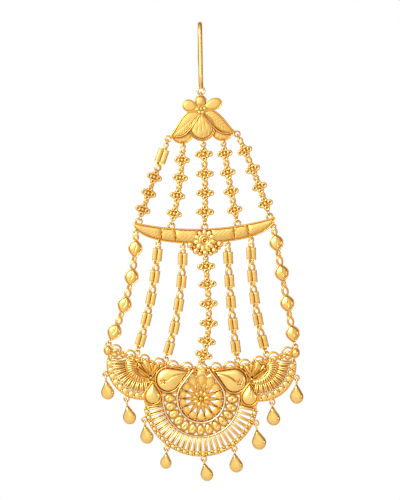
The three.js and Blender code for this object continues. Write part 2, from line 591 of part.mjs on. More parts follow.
function strand({ from, to, end, atCorner, links, bow = 0, stem = 0 }) {
  const span = from.distanceTo(to);
  const along = to.clone().sub(from).divideScalar(span);
  const tilt = THREE.MathUtils.radToDeg(Math.atan2(along.x, -along.y));
  const place = (piece, s) => {
    const t = s / span;
    const p = from.clone().addScaledVector(along, s);
    p.addScaledVector(new THREE.Vector2(-along.y, along.x), 4 * bow * t * (1 - t));
    const swing = THREE.MathUtils.radToDeg(Math.atan((4 * bow * (1 - 2 * t)) / span));
    return turned(piece, p.x, p.y, tilt + swing);
  };
  const held = atCorner ? CORNER_RING : EYELET;
  const top = held.radius - held.wire - RUNNING_GAP - LINK_RING.wire;
  const pieces = atCorner ? [place(eyelet(LINK_RING, 0, 0, LINK), top + LINK_RING.radius)] : [];
  const first = top + LINK_RING.radius + (atCorner ? 2 * LINK_RING.radius - LINK_RING.wire : 0);
  const last = span - end.radius - (EYELET.radius - EYELET.wire - end.wire - RUNNING_GAP);
  pieces.push(place(ring(LINK_RING, 0, 0, LINK), first), place(eyelet(EYELET, 0, 0, LINK), last));

  // The links share out what is left between the two loops
  const sizes = links.map((kind) => LINKS[kind]);
  const begin = first + LINK_RING.radius + stem;
  if (stem) pieces.push(place(tube(stem), begin - stem));
  const bodies = sizes.reduce((sum, { above, below }) => sum + above + below, 0);
  const gap = (last - EYELET.radius - begin - bodies) / (links.length - 1);
  let s = begin;
  sizes.forEach(({ above, below, make }, i) => {
    pieces.push(place(make(), s + above));
    s += above + below;
    if (i === links.length - 1) return;
    pieces.push(place(tube(gap), s));
    s += gap;
  });
  return soldered(pieces);
}

// Drop: a flattened hollow teardrop that hangs by its own edge-on loop
function drop(ringCentre, lean) {
  const open = Math.acos(DROP.radius / DROP.tip);
  const round = range(4).map((i) => {
    const a = -Math.PI / 2 + (i * (Math.PI - open)) / 3;
    return new THREE.Vector2(i ? DROP.radius * Math.cos(a) : 0, DROP.radius * Math.sin(a));
  });
  const profile = [...round, new THREE.Vector2(0, DROP.tip)];
  const body = solid(new THREE.LatheGeometry(profile, LINK.sides)).scale([1, 1, DROP.flat]);
  const inside = (EYELET.radius - EYELET.wire) * DROP.bail;
  const loopAbove = DROP.tip + inside;
  const hang = inside - FAN_RING.wire - RUNNING_GAP;
  const loop = eyelet(EYELET, 0, 0).scale([1, DROP.bail, 1]).translate([0, loopAbove, 0]);
  const whole = body.add(loop).translate([0, -loopAbove - hang, 0]);
  return turned(whole, ringCentre.x, ringCentre.y - FAN_RING.radius, lean);
}

// Metals
const bright = new THREE.MeshStandardMaterial({ color: 0xf0b84a, metalness: 1, roughness: 0.22 });
const satin = new THREE.MeshStandardMaterial({ color: 0xe9b355, metalness: 1, roughness: 0.42 });

function mesh(name, piece, material, z = 0) {
  const { numProp, vertProperties, triVerts } = piece.translate([0, 0, z]).simplify(TRIM).getMesh();
  const corners = new THREE.InterleavedBuffer(vertProperties, numProp);
  const geometry = new THREE.BufferGeometry();
  geometry.setAttribute("position", new THREE.InterleavedBufferAttribute(corners, 3, 0));
  geometry.setIndex(new THREE.BufferAttribute(triVerts, 1));
  const made = new THREE.Mesh(geometry.toNonIndexed(), material);
  made.name = name;
  made.geometry.computeVertexNormals();
  return made;
}

const pendant = new THREE.Group();
pendant.add(mesh("hook", hook(), bright));
pendant.add(mesh("crown_plaque", crown(), satin, PLATE_Z));
pendant.add(mesh("crescent_bar", bar(), satin, PLATE_Z));
pendant.add(mesh("fan_plaque", fan(), satin, PLATE_Z));
[...UPPER, ...LOWER].forEach((each) => pendant.add(mesh(each.name, strand(each), bright, PLATE_Z)));
DROPS.forEach(({ lean }, i) => {
  pendant.add(mesh("drop_" + (i + 1), drop(onFan(DROP_RINGS[i]), lean), satin, PLATE_Z));
});
pendant.rotation.x = Math.PI / 2;

export default pendant;
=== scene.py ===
"""Forehead pendant in gold: the looks around its solids, drawn in millimetres as seen from the front."""
import math

import bpy
import numpy as np
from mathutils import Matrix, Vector


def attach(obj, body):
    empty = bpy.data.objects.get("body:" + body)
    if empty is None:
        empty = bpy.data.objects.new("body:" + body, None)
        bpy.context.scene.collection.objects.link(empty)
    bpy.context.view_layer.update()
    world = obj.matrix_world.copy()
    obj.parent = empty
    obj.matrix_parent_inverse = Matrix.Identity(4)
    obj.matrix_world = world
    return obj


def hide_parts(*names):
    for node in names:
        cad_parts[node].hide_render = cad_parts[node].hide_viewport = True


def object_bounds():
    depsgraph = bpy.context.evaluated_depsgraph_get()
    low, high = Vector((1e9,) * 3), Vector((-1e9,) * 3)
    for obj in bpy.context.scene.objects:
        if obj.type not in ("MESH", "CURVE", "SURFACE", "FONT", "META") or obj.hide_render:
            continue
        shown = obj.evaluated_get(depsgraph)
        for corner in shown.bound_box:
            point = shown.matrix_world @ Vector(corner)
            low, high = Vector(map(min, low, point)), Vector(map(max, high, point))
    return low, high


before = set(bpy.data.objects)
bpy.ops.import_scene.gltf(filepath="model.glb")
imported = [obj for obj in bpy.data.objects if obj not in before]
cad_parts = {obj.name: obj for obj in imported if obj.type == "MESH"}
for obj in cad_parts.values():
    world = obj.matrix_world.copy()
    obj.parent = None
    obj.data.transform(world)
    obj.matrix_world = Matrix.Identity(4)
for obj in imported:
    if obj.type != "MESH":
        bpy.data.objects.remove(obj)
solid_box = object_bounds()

# Studio: a pale floor below the hanging jewel and a long lens straight in front of it. The room is white, but
# the gold mirrors a soft cream light in front of it, a warm wall behind it, and deep orange shade elsewhere.
MM = 0.001
MM_A_PIXEL = 0.38
PIXELS_HIGH = 500
PIXELS_ABOVE_HOOK = 26.2
LENS = 150
FLOOR = {"below": 0.05, "radius": 0.3, "sides": 96}
ROOM_SHADE = (0.32, 0.14, 0.04, 1)
ROOM_LIGHTS = [
    {"towards": (-0.58, -0.75, 0.32), "fades": (-0.1, 0.88), "color": (0.93, 0.86, 0.72, 1)},
    {"towards": (0.2, 0.96, 0.2), "fades": (0.72, 0.98), "color": (0.85, 0.72, 0.52, 1)},
]
SOFTBOXES = [
    {"name": "key", "at": (-0.45, -0.75, 0.3), "size": 0.35, "watts": 6},
    {"name": "fill", "at": (0.7, -0.5, -0.1), "size": 0.25, "watts": 0.8},
]

scene = bpy.context.scene
scene.view_settings.view_transform = "Standard"
view_height = PIXELS_HIGH * MM_A_PIXEL * MM
camera = bpy.data.objects.new("camera", bpy.data.cameras.new("camera"))
camera.data.lens = LENS
camera.data.clip_start = 0.01
camera.location = (0, -view_height * LENS / camera.data.sensor_width,
                   (PIXELS_ABOVE_HOOK - PIXELS_HIGH / 2) * MM_A_PIXEL * MM)
camera.rotation_euler = (math.pi / 2, 0, 0)
scene.collection.objects.link(camera)
scene.camera = camera


def nodes_of(owner):
    owner.use_nodes = True
    tree = owner.node_tree
    tree.nodes.clear()
    return tree


def node(tree, kind, inputs=(), **settings):
    made = tree.nodes.new(kind)
    for name, value in settings.items():
        setattr(made, name, value)
    for socket, value in dict(inputs).items():
        if isinstance(value, bpy.types.NodeSocket):
            tree.links.new(value, made.inputs[socket])
        else:
            made.inputs[socket].default_value = value
    return made


def color_mix(tree, factor, first, second):
    mixed = node(tree, "ShaderNodeMix", data_type="RGBA")
    for socket, value in ((mixed.inputs[0], factor), (mixed.inputs[6], first), (mixed.inputs[7], second)):
        if isinstance(value, bpy.types.NodeSocket):
            tree.links.new(value, socket)
        else:
            socket.default_value = value
    return mixed.outputs[2]


room = bpy.data.worlds.new("studio")
scene.world = room
tree = nodes_of(room)
looking = node(tree, "ShaderNodeTexCoord").outputs["Generated"]
in_gold = ROOM_SHADE
for wall in ROOM_LIGHTS:
    faint, full = wall["fades"]
    facing = node(tree, "ShaderNodeVectorMath", {0: looking, 1: wall["towards"]}, operation="DOT_PRODUCT")
    share = node(tree, "ShaderNodeMapRange", {0: facing.outputs["Value"], 1: faint, 2: full},
                 interpolation_type="SMOOTHSTEP")
    in_gold = color_mix(tree, share.outputs[0], in_gold, wall["color"])
ray = node(tree, "ShaderNodeLightPath")
seen = color_mix(tree, ray.outputs["Is Camera Ray"], in_gold, (1, 1, 1, 1))
light = node(tree, "ShaderNodeBackground", {"Color": seen, "Strength": 1.0})
node(tree, "ShaderNodeOutputWorld", {"Surface": light.outputs[0]})

middle = Vector((0, 0, camera.location.z))
for box in SOFTBOXES:
    lamp = bpy.data.lights.new(box["name"], "AREA")
    lamp.energy, lamp.size = box["watts"], box["size"]
    softbox = bpy.data.objects.new(box["name"], lamp)
    softbox.location = box["at"]
    softbox.rotation_euler = (middle - softbox.location).to_track_quat("-Z", "Y").to_euler()
    scene.collection.objects.link(softbox)

floor_mesh = bpy.data.meshes.new("floor")
level = solid_box[0][2] - FLOOR["below"]
floor_edge = []
for k in range(FLOOR["sides"]):
    angle = 2 * math.pi * k / FLOOR["sides"]
    floor_edge.append((FLOOR["radius"] * math.cos(angle), FLOOR["radius"] * math.sin(angle), level))
floor_mesh.from_pydata(floor_edge, [], [list(range(FLOOR["sides"]))])
floor = bpy.data.objects.new("floor", floor_mesh)
paper = bpy.data.materials.new("white paper")
tree = nodes_of(paper)
fibres = node(tree, "ShaderNodeTexNoise", {"Scale": 40.0, "Detail": 4.0})
tint = color_mix(tree, fibres.outputs["Fac"], (0.86, 0.86, 0.86, 1), (0.9, 0.9, 0.89, 1))
sheet = node(tree, "ShaderNodeBsdfPrincipled", {"Base Color": tint, "Roughness": 0.9})
node(tree, "ShaderNodeOutputMaterial", {"Surface": sheet.outputs[0]})
floor_mesh.materials.append(paper)
scene.collection.objects.link(floor)

# Hook: one length of round gold wire, drawn smooth and polished. It is bent over backwards at the top, where
# it goes into the hair, and closed into a small eye at its foot. The whole jewel hangs free in that eye.
HOOK = {"wire": 0.86, "gap": 6.0, "bend": 3.82, "length": 24.9, "back_leg": 13.5, "lean": 0.4}
HOOK_TIP = {"from": 0.75, "flare": 1.2, "taper": (0.95, 0.8, 0.5)}
EYE = {"radius": 1.3, "wire": 0.38}
FRONT_LEG = HOOK["bend"]  # the plaques and strands hang in the plane of the hook's front leg
EYE_CENTRE = (HOOK["lean"], -HOOK["length"])


def unit(vectors):
    return vectors / np.maximum(np.linalg.norm(vectors, axis=-1, keepdims=True), 1e-9)


def grid_faces(rows, around, close_rows=False):
    i = np.arange(rows if close_rows else rows - 1)[:, None]
    k = np.arange(around)[None, :]
    after, beside = (i + 1) % rows, (k + 1) % around
    corners = [i * around + k, i * around + beside, after * around + beside, after * around + k]
    return np.stack(np.broadcast_arrays(*corners), -1).reshape(-1, 4).tolist()


SHARP_FROM = math.radians(50)


class Metal:
    """Forms soldered into one piece of metal, in millimetres: x to the right, y up, z towards the viewer."""

    def __init__(self):
        self.corners, self.faces, self.count = [], [], 0

    def add(self, corners, faces):
        corners = np.asarray(corners, float).reshape(-1, 3)
        self.faces += [[c + self.count for c in face] for face in faces]
        self.corners.append(corners)
        self.count += len(corners)

    def wire(self, points, radius, sides=8, closed=False, facing=(0, 0, 1)):
        """A round wire through the points. facing is a direction that it never runs along."""
        line = np.asarray(points, float)
        radii = np.broadcast_to(np.asarray(radius, float), len(line)).copy()
        if not closed:
            first, last = unit(line[0] - line[1]), unit(line[-1] - line[-2])
            line = np.vstack([line[0] + first * radii[0] * 0.6, line, line[-1] + last * radii[-1] * 0.6])
            radii = np.concatenate([radii[:1] * 0.5, radii, radii[-1:] * 0.5])
        after, before = np.roll(line, -1, 0), np.roll(line, 1, 0)
        if not closed:
            after[-1], before[0] = line[-1], line[0]
        along = unit(after - before)
        across = unit(np.cross(along, np.asarray(facing, float)))
        out = np.cross(across, along)
        turn = np.arange(sides) * 2 * math.pi / sides
        rim = across[:, None] * np.cos(turn)[None, :, None] + out[:, None] * np.sin(turn)[None, :, None]
        faces = grid_faces(len(line), sides, close_rows=closed)
        if not closed:
            end = (len(line) - 1) * sides
            faces += [list(range(sides))[::-1], [end + k for k in range(sides)]]
        self.add(line[:, None] + rim * radii[:, None, None], faces)

    def ring(self, x, y, radius, wire, z=0.0, yaw=0.0, stretch=1.0, sides=24, wire_sides=8):
        """A wire ring. yaw turns it about the upright line through its centre: 0 is face-on, 90 edge-on."""
        turn = np.arange(sides) * 2 * math.pi / sides
        c, s = math.cos(math.radians(yaw)), math.sin(math.radians(yaw))
        out = radius * np.cos(turn)
        points = np.stack([x + out * c, y + radius * stretch * np.sin(turn), z + out * s], -1)
        self.wire(points, wire, wire_sides, True, facing=(-s, 0, c))

    def put(self, part, x=0.0, y=0.0, degrees=0.0, z=0.0):
        """Adds a copy of another piece, turned and moved."""
        c, s = math.cos(math.radians(degrees)), math.sin(math.radians(degrees))
        px, py, pz = np.concatenate(part.corners).T
        self.add(np.stack([px * c - py * s + x, px * s + py * c + y, pz + z], -1), part.faces)

    def hung(self, plaque):
        """The forms of a plaque, moved to where it hangs."""
        whole = Metal()
        whole.put(self, plaque["x"], plaque["y"], plaque["tilt"])
        return whole

    def make(self, name, finish, slot, replaced=(), body="pendant", plane=FRONT_LEG):
        """The piece as an object upright in the room, riding on its body."""
        p = np.concatenate(self.corners)
        mesh = bpy.data.meshes.new(name)
        mesh.from_pydata(np.stack([p[:, 0], -p[:, 2] - plane, p[:, 1]], -1) * MM, [], self.faces)
        mesh.shade_smooth()
        mesh.set_sharp_from_angle(angle=SHARP_FROM)
        mesh.materials.append(finish)
        piece = bpy.data.objects.new(name, mesh)
        scene.collection.objects.link(piece)
        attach(piece, body)
        if replaced:
            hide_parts(*replaced)


CLOUD_SCALE, SPOT_SCALE, CLOUDED = 260.0, 900.0, 0.1
# Painted shade: how far ambient occlusion looks for nearby metal, and the span over which the deep orange
# fades in.
PAINTED_SHADE_REACH, PAINTED_SHADE_FADES = 0.0009, {1: 0.42, 2: 0.96}


def gold(name, light, deep, roughness, grain, grain_depth):
    """Gold with a fine grain, in its own colour on open faces and a deeper orange in its corners, which is
    painted shade.
    """
    finish = bpy.data.materials.new(name)
    tree = nodes_of(finish)
    place = node(tree, "ShaderNodeTexCoord").outputs["Object"]
    clouds, spots, pores = (
        node(tree, "ShaderNodeTexNoise", {"Vector": place, "Scale": scale, "Detail": detail}).outputs["Fac"]
        for scale, detail in ((CLOUD_SCALE, 3.0), (SPOT_SCALE, 2.0), (grain, 4.0))
    )
    clouded = tuple(a + (b - a) * CLOUDED for a, b in zip(light, deep))
    face = color_mix(tree, clouds, (*light, 1), (*clouded, 1))
    # Painted shade: ambient occlusion blends the deep orange into corners, creases and the gaps between
    # parts.
    corner = node(tree, "ShaderNodeAmbientOcclusion", {"Distance": PAINTED_SHADE_REACH}, samples=8)
    share_free_of_painted_shade = node(tree, "ShaderNodeMapRange", {0: corner.outputs["AO"], **PAINTED_SHADE_FADES})
    color = color_mix(tree, share_free_of_painted_shade.outputs[0], (*deep, 1), face)
    low, high = roughness
    dull = node(tree, "ShaderNodeMapRange", {0: spots, 1: 0.3, 2: 0.7, 3: low, 4: high})
    bump = node(tree, "ShaderNodeBump", {"Height": pores, "Distance": grain_depth})
    metal = node(tree, "ShaderNodeBsdfPrincipled", {
        "Base Color": color, "Metallic": 1.0, "Roughness": dull.outputs[0], "Normal": bump.outputs[0],
    })
    node(tree, "ShaderNodeOutputMaterial", {"Surface": metal.outputs[0]})
    return finish


# Each gold: its own colour, then the deep orange painted as shade in its corners, then roughness and grain.
drawn = gold("drawn gold", (1.0, 0.7, 0.26), (0.6, 0.2, 0.01), (0.3, 0.32), 1500.0, 0.0000003)

hook = Metal()
bend_steps = np.radians(np.linspace(0, 180, 25))
bend_height = -HOOK["gap"] / 2
front = [(HOOK["lean"], EYE_CENTRE[1] + EYE["radius"] + 0.1, FRONT_LEG)]
for t in (0.3, 0.6, 0.9):
    front.append((HOOK["lean"] * (1 - t), EYE_CENTRE[1] * (1 - t) + bend_height * t, FRONT_LEG))
over = [(0, bend_height + FRONT_LEG * math.sin(a), FRONT_LEG * math.cos(a)) for a in bend_steps]
back = []
for t in (0.3, 0.6, HOOK_TIP["from"], 0.88, 1):
    flare = HOOK_TIP["flare"] * max(0, t - HOOK_TIP["from"]) / (1 - HOOK_TIP["from"])
    back.append((0, bend_height - HOOK["back_leg"] * t, -FRONT_LEG - flare))
thick = np.full(len(front + over + back), HOOK["wire"])
thick[-3:] *= HOOK_TIP["taper"]
hook.wire(front + over + back, thick, 20, facing=(1, 0, 0))
hook.ring(*EYE_CENTRE, EYE["radius"], EYE["wire"], z=FRONT_LEG, sides=36, wire_sides=12)
hook.make("hook_wire", drawn, "polished_gold", ["hook"], body="hook", plane=0)

# Crown plaque: two big engraved leaves and two bow loops of brushed gold plate, edged with polished wire and
# soldered behind a bud and a knot, over a domed drop with a double rim. It hangs by the bail on the bud.
EYE_ABOVE_CROWN = 8.6
CROWN = {"x": EYE_CENTRE[0], "y": EYE_CENTRE[1] - EYE_ABOVE_CROWN, "tilt": 4}
CROWN_LEAF = {"span": 12.3, "fall": 7.8, "level": 0.4, "rise": 0.25, "barbs": 12}
CROWN_DROP = {"radius": 5.0, "tip": 6.2, "rise": 1.0, "y": -5.2, "inner": 0.82, "eyelet": -10.3}
CROWN_CUTS = {"from": 3.0, "fans": 34, "deep": 0.12}
CROWN_DROP_RIMS = ((1.0, 0.4, 0.25), (0.905, 0.65, 0.2))
CROWN_SCALLOP = {"width": 3.9, "fall": 3.6}
CROWN_BUD = {"width": 1.9, "height": 2.5, "rise": 1.3}
CROWN_BOWS = [
    {"at": (-4.0, 3.2), "half": (2.6, 2.05), "turned": -24},
    {"at": (4.8, 3.15), "half": (3.2, 1.95), "turned": 17},
]
KNOT_HEIGHT = 1.7
BAIL = {"radius": 1.0, "wire": 0.3}
CORNER_RING = {"radius": 1.05, "wire": 0.3}
EYELET = {"radius": 0.78, "wire": 0.25}
RUNNING_GAP = 0.13
PLATE_BACK, PLATE_FRONT = -0.6, 0.15
PIVOT = (EYE_CENTRE[0], EYE_CENTRE[1] - EYE["radius"])
corner_out = CORNER_RING["radius"] * 0.75
crown_corner = (CROWN_LEAF["span"] + corner_out, -CROWN_LEAF["fall"] - corner_out)
scallop_foot = (CROWN_LEAF["span"] * 0.62, -CROWN_LEAF["fall"] * 0.9 - CROWN_SCALLOP["fall"])
crown_feet = ((-scallop_foot[0], scallop_foot[1]), (0, CROWN_DROP["eyelet"]), scallop_foot)
crown_eyelets = [(x, y - EYELET["radius"] / 2) for x, y in crown_feet]


def smooth_line(points, count):
    """Evenly spaced points on a smooth line through the given ones."""
    p = np.asarray(points, float)
    p = np.vstack([2 * p[0] - p[1], p, 2 * p[-1] - p[-2]])
    t = np.linspace(0, 1, 12, endpoint=False)[:, None]
    spans = []
    for a, b, c, d in zip(p, p[1:], p[2:], p[3:]):
        squared, cubed = (2 * a - 5 * b + 4 * c - d) * t**2, (3 * b - a - 3 * c + d) * t**3
        spans.append(0.5 * (2 * b + (c - a) * t + squared + cubed))
    return evenly(np.vstack(spans + [p[-2:-1]]), count)


def evenly(line, count, closed=False):
    if closed:
        line = np.vstack([line, line[:1]])
    step = np.concatenate([[0], np.cumsum(np.linalg.norm(np.diff(line, axis=0), axis=1))])
    at = np.linspace(0, step[-1], count, endpoint=not closed)
    return np.stack([np.interp(at, step, line[:, k]) for k in range(line.shape[1])], -1)


def on_circle(angle, radius, x=0.0, y=0.0):
    return x + radius * math.cos(math.radians(angle)), y + radius * math.sin(math.radians(angle))


def arc(start, end, radius, count, x=0.0, y=0.0):
    return np.array([on_circle(angle, radius, x, y) for angle in np.linspace(start, end, count)])


def drop_outline(radius, tip, count):
    """A round form that runs up to a point, its round end about the origin."""
    opening = math.degrees(math.acos(radius / tip))
    return evenly(np.vstack([arc(90 + opening, 450 - opening, radius, 40), [(0, tip)]]), count, closed=True)


def moved(line, x=0.0, y=0.0, degrees=0.0, mirror=1):
    c, s = math.cos(math.radians(degrees)), math.sin(math.radians(degrees))
    line = np.asarray(line, float)
    return np.stack([mirror * (line[:, 0] * c - line[:, 1] * s) + x, line[:, 0] * s + line[:, 1] * c + y], -1)


def raised(line, z=0.0):
    """Points of the drawing at one height."""
    line = np.asarray(line, float)
    return np.column_stack([line, np.full(len(line), z)])


def dome(metal, outline, focus, height, back=PLATE_BACK, steps=10, relief=None):
    """A domed plate on an outline: height(share) is its front, share 1 at the edge and 0 at the focus."""
    outline, focus = np.asarray(outline, float), np.asarray(focus, float)
    shares = np.concatenate([[1], np.linspace(1, 0, steps + 1)[:-1]])
    rows = focus + (outline - focus)[None] * shares[:, None, None]
    z = np.array([height(share) for share in shares])
    z[0] = back
    levels = np.repeat(z[:, None], len(outline), 1)
    middle_height = height(0)
    if relief is not None:
        levels[1:] += relief(rows[1:, :, 0], rows[1:, :, 1], shares[1:, None])
        middle_height += float(relief(focus[0], focus[1], 0.0))
    n = len(outline)
    corners = np.concatenate([np.dstack([rows, levels[..., None]]).reshape(-1, 3), [[*focus, middle_height]]])
    faces = grid_faces(len(shares), n)
    last = (len(shares) - 1) * n
    faces += [[last + k, last + (k + 1) % n, len(corners) - 1] for k in range(n)]
    faces.append(list(range(n))[::-1])
    metal.add(corners, faces)


def swelling(rise, foot=0.0, power=2.0):
    """The height of a dome that is steep at its edge and flat on top."""
    return lambda share: foot + (rise - foot) * math.sqrt(max(0.0, 1 - share**power))


def flat(level):
    """The height of a plate that isn't domed."""
    return lambda *place: level + 0 * sum(place)


def field(metal, upper, lower, height, back=PLATE_BACK, across=12):
    """A plate between two edges. height(u, v) is its front: u runs along it, v from the upper edge down."""
    v = np.linspace(0, 1, across + 1)
    u = np.linspace(0, 1, len(upper))
    front = upper[:, None] * (1 - v)[None, :, None] + lower[:, None] * v[None, :, None]
    z = height(u[:, None], v[None, :])
    rows = np.dstack([front, z[..., None]])
    under = [np.column_stack([edge, np.full(len(u), back)])[:, None] for edge in (lower, upper)]
    around = across + 3
    faces = grid_faces(len(u), around)
    end = (len(u) - 1) * around
    faces += [list(range(around)), [end + k for k in range(around)][::-1]]
    metal.add(np.concatenate([rows, *under], 1), faces)


def ball(metal, x, y, z, radius, squat=1.0, rows=6, around=10):
    """A granule, or a flatter button where squat is less than 1."""
    tilt = np.linspace(0, math.pi, rows + 1)[1:-1, None]
    turn = np.arange(around)[None] * 2 * math.pi / around
    shell = np.stack([x + radius * np.sin(tilt) * np.cos(turn), y + radius * np.sin(tilt) * np.sin(turn),
                      z + radius * squat * np.cos(tilt) * np.ones_like(turn)], -1)
    corners = np.concatenate([shell.reshape(-1, 3), [[x, y, z + radius * squat], [x, y, z - radius * squat]]])
    top, bottom = len(corners) - 2, len(corners) - 1
    last = (rows - 2) * around
    faces = grid_faces(rows - 1, around)
    faces += [[(k + 1) % around, k, top] for k in range(around)]
    faces += [[last + k, last + (k + 1) % around, bottom] for k in range(around)]
    metal.add(corners, faces)


def pad(width, height, rise, foot=0.05):
    """A small domed plate, rounded like a fish scale."""
    made = Metal()
    dome(made, arc(0, 360, 1, 21)[:-1] * (width, height), (0, 0), swelling(rise, foot), back=-0.5, steps=6)
    return made


def strokes(u, v, count, slant, depth):
    """Engraved cuts that run slanting from the middle of a leaf to its edges, like the barbs of a feather."""
    wave = np.cos(2 * math.pi * (u * count - slant * np.abs(2 * v - 1)))
    return -depth * np.maximum(0, wave) ** 6


satin = gold("satin gold", (1.0, 0.75, 0.27), (0.58, 0.18, 0.01), (0.28, 0.38), 3200.0, 0.000012)
polished = gold("polished gold", (0.97, 0.57, 0.11), (0.48, 0.12, 0.004), (0.24, 0.34), 2500.0, 0.000004)
brushed = gold("brushed gold", (0.8, 0.55, 0.18), (0.5, 0.15, 0.008), (0.4, 0.5), 4200.0, 0.000012)

crown_fields, crown_rims = Metal(), Metal()
for side in (-1, 1):
    share = np.array([side * CROWN_LEAF["span"], CROWN_LEAF["fall"]])
    upper = [(0.02, 0.08), (0.14, 0.12), (0.38, 0.1), (0.62, -0.23), (0.84, -0.72), (1, -1.02)]
    upper = smooth_line(np.array(upper) * share, 60)
    lower = [(0.02, 0), (0.2, -0.385), (0.41, -0.77), (0.6, -0.99), (0.8, -1.04), (1, -1)]
    lower = smooth_line(np.array(lower) * share, 60)

    def leaf_front(u, v):
        swell = np.sqrt(np.clip(1 - (2 * v - 1) ** 2, 0, 1)) * np.sin(np.pi * np.clip(u * 1.15, 0, 1) ** 0.7)
        midrib = -0.06 * np.exp(-(((v - 0.5 - 0.1 * np.sin(6 * u)) / 0.04) ** 2))
        barbs = strokes(u, v, CROWN_LEAF["barbs"], 1.6, 0.07)
        return CROWN_LEAF["level"] + CROWN_LEAF["rise"] * swell + midrib + barbs

    field(crown_fields, upper, lower, leaf_front, back=PLATE_BACK + 0.2, across=22)
    rim = np.vstack([upper, lower[::-1][1:-1]])
    crown_rims.wire(raised(rim, 0.5), 0.32, 8, closed=True)
    for metal, share_in, lift, wire in ((crown_fields, -0.03, 1.0, 0.27), (crown_rims, 0.11, 0.7, 0.2)):
        inner_rim = smooth_line((lower + (upper - lower) * share_in)[2:-4:6], 80)
        metal.wire(raised(inner_rim, lift), wire, 14)

    foot_x, foot_y = side * scallop_foot[0], scallop_foot[1]
    scallop = arc(180, 360, 1, 25) * (CROWN_SCALLOP["width"], CROWN_SCALLOP["fall"])
    scallop += (foot_x, foot_y + CROWN_SCALLOP["fall"])
    scallop = np.vstack([scallop, [(side * CROWN_LEAF["span"] * 0.55, -CROWN_LEAF["fall"] * 0.5)]])
    heart = (foot_x, foot_y + CROWN_SCALLOP["fall"])

    def scallop_rays(x, y, s, heart=heart):
        return -0.05 * np.maximum(0, np.cos(12 * np.arctan2(y - heart[1], x - heart[0]))) ** 3

    dome(crown_fields, scallop, heart, swelling(0.1, -0.05), steps=8, relief=scallop_rays)
    crown_rims.wire(raised(scallop[:25], 0.0), 0.28, 8)
    crown_rims.ring(side * crown_corner[0], crown_corner[1], CORNER_RING["radius"], CORNER_RING["wire"])

drop_middle = np.array([0, CROWN_DROP["y"]])
drop_edge = moved(drop_outline(CROWN_DROP["radius"], CROWN_DROP["tip"], 80), *drop_middle)
inner = drop_middle + (drop_edge - drop_middle) * CROWN_DROP["inner"]


def drop_cuts(x, y, s):
    """Fine cuts fanned out over the drop from its point, none of them near its edge."""
    below = CROWN_CUTS["from"] - y
    out, turn_about = np.hypot(x, below), np.arctan2(x, below)
    broken = 0.5 + 0.5 * np.sin(1.7 * out + 9 * turn_about)
    cuts = np.maximum(0, np.cos(CROWN_CUTS["fans"] * turn_about)) ** 3
    return -CROWN_CUTS["deep"] * cuts * broken * (s < 0.9)


dome(crown_fields, inner, drop_middle, swelling(CROWN_DROP["rise"], 0.7, 3.0), back=-0.2, steps=30,
     relief=drop_cuts)
dome(crown_rims, drop_edge, drop_middle, flat(0.0), back=PLATE_BACK - 0.05, steps=3)
for share, lift, wire in CROWN_DROP_RIMS:
    crown_fields.wire(raised(drop_middle + (drop_edge - drop_middle) * share, lift), wire, 10, closed=True)

for bow in CROWN_BOWS:
    middle_of_bow = np.array(bow["at"])
    outline = arc(0, 360, 1, 57)[:-1]
    outline[:, 1] *= 1 + 0.18 * outline[:, 0] * math.copysign(1, bow["at"][0])  # narrower towards the knot
    outline = moved(outline * bow["half"], *middle_of_bow, bow["turned"])
    dome(crown_fields, outline, middle_of_bow, swelling(0.75, 0.45, 4.0), steps=14)
    crown_rims.wire(raised(outline, 0.5), 0.26, 8, closed=True)

bud_y = EYE_ABOVE_CROWN - EYE["radius"] - BAIL["radius"] - CROWN_BUD["height"] + 0.8
bud_middle = (0.15, bud_y)
bud = arc(0, 360, 1, 33)[:-1]
bud = np.sign(bud) * np.abs(bud) ** 0.7 * (CROWN_BUD["width"], CROWN_BUD["height"] * 0.8) + bud_middle
dome(crown_fields, bud, bud_middle, swelling(CROWN_BUD["rise"], 0.4, 3.0), steps=12)
crown_rims.wire(raised(bud, 0.2), 0.26, 8, closed=True)
crown_rims.wire([(0, bud_y + 1.2, 0.1), (0, bud_y + 1.8, 0.1)], (0.45, 0.34), 10)
for x, y in arc(20, 130, 1, 6) * (CROWN_BUD["width"] * 1.1, CROWN_BUD["height"] * 0.7) + bud_middle:
    ball(crown_fields, x, y, 0.45, 0.42)
dome(crown_fields, arc(0, 360, 2.9, 31, 0.3, 2.3)[:-1], (0.3, 2.3), flat(0.45),
     back=PLATE_BACK + 0.05, steps=3)
for k in range(6):
    crown_fields.put(pad(0.85, 1.0, 0.95, 0.5), *on_circle(60 * k, 1.35, 0.2, KNOT_HEIGHT), 60 * k + 90)
ball(crown_fields, 0.2, KNOT_HEIGHT, 0.95, 0.75, 0.7, 10, 16)
for x, y in crown_eyelets:
    crown_rims.ring(x, y, EYELET["radius"], EYELET["wire"], yaw=90)
bail_y = PIVOT[1] + EYE["wire"] + RUNNING_GAP + BAIL["wire"] - BAIL["radius"]

crown_fields.hung(CROWN).make("crown_leaves", brushed, "satin_gold", ["crown_plaque"])
whole_rims = crown_rims.hung(CROWN)
whole_rims.ring(PIVOT[0], bail_y, BAIL["radius"], BAIL["wire"], yaw=90, sides=28, wire_sides=10)
whole_rims.make("crown_rims", polished, "satin_gold")

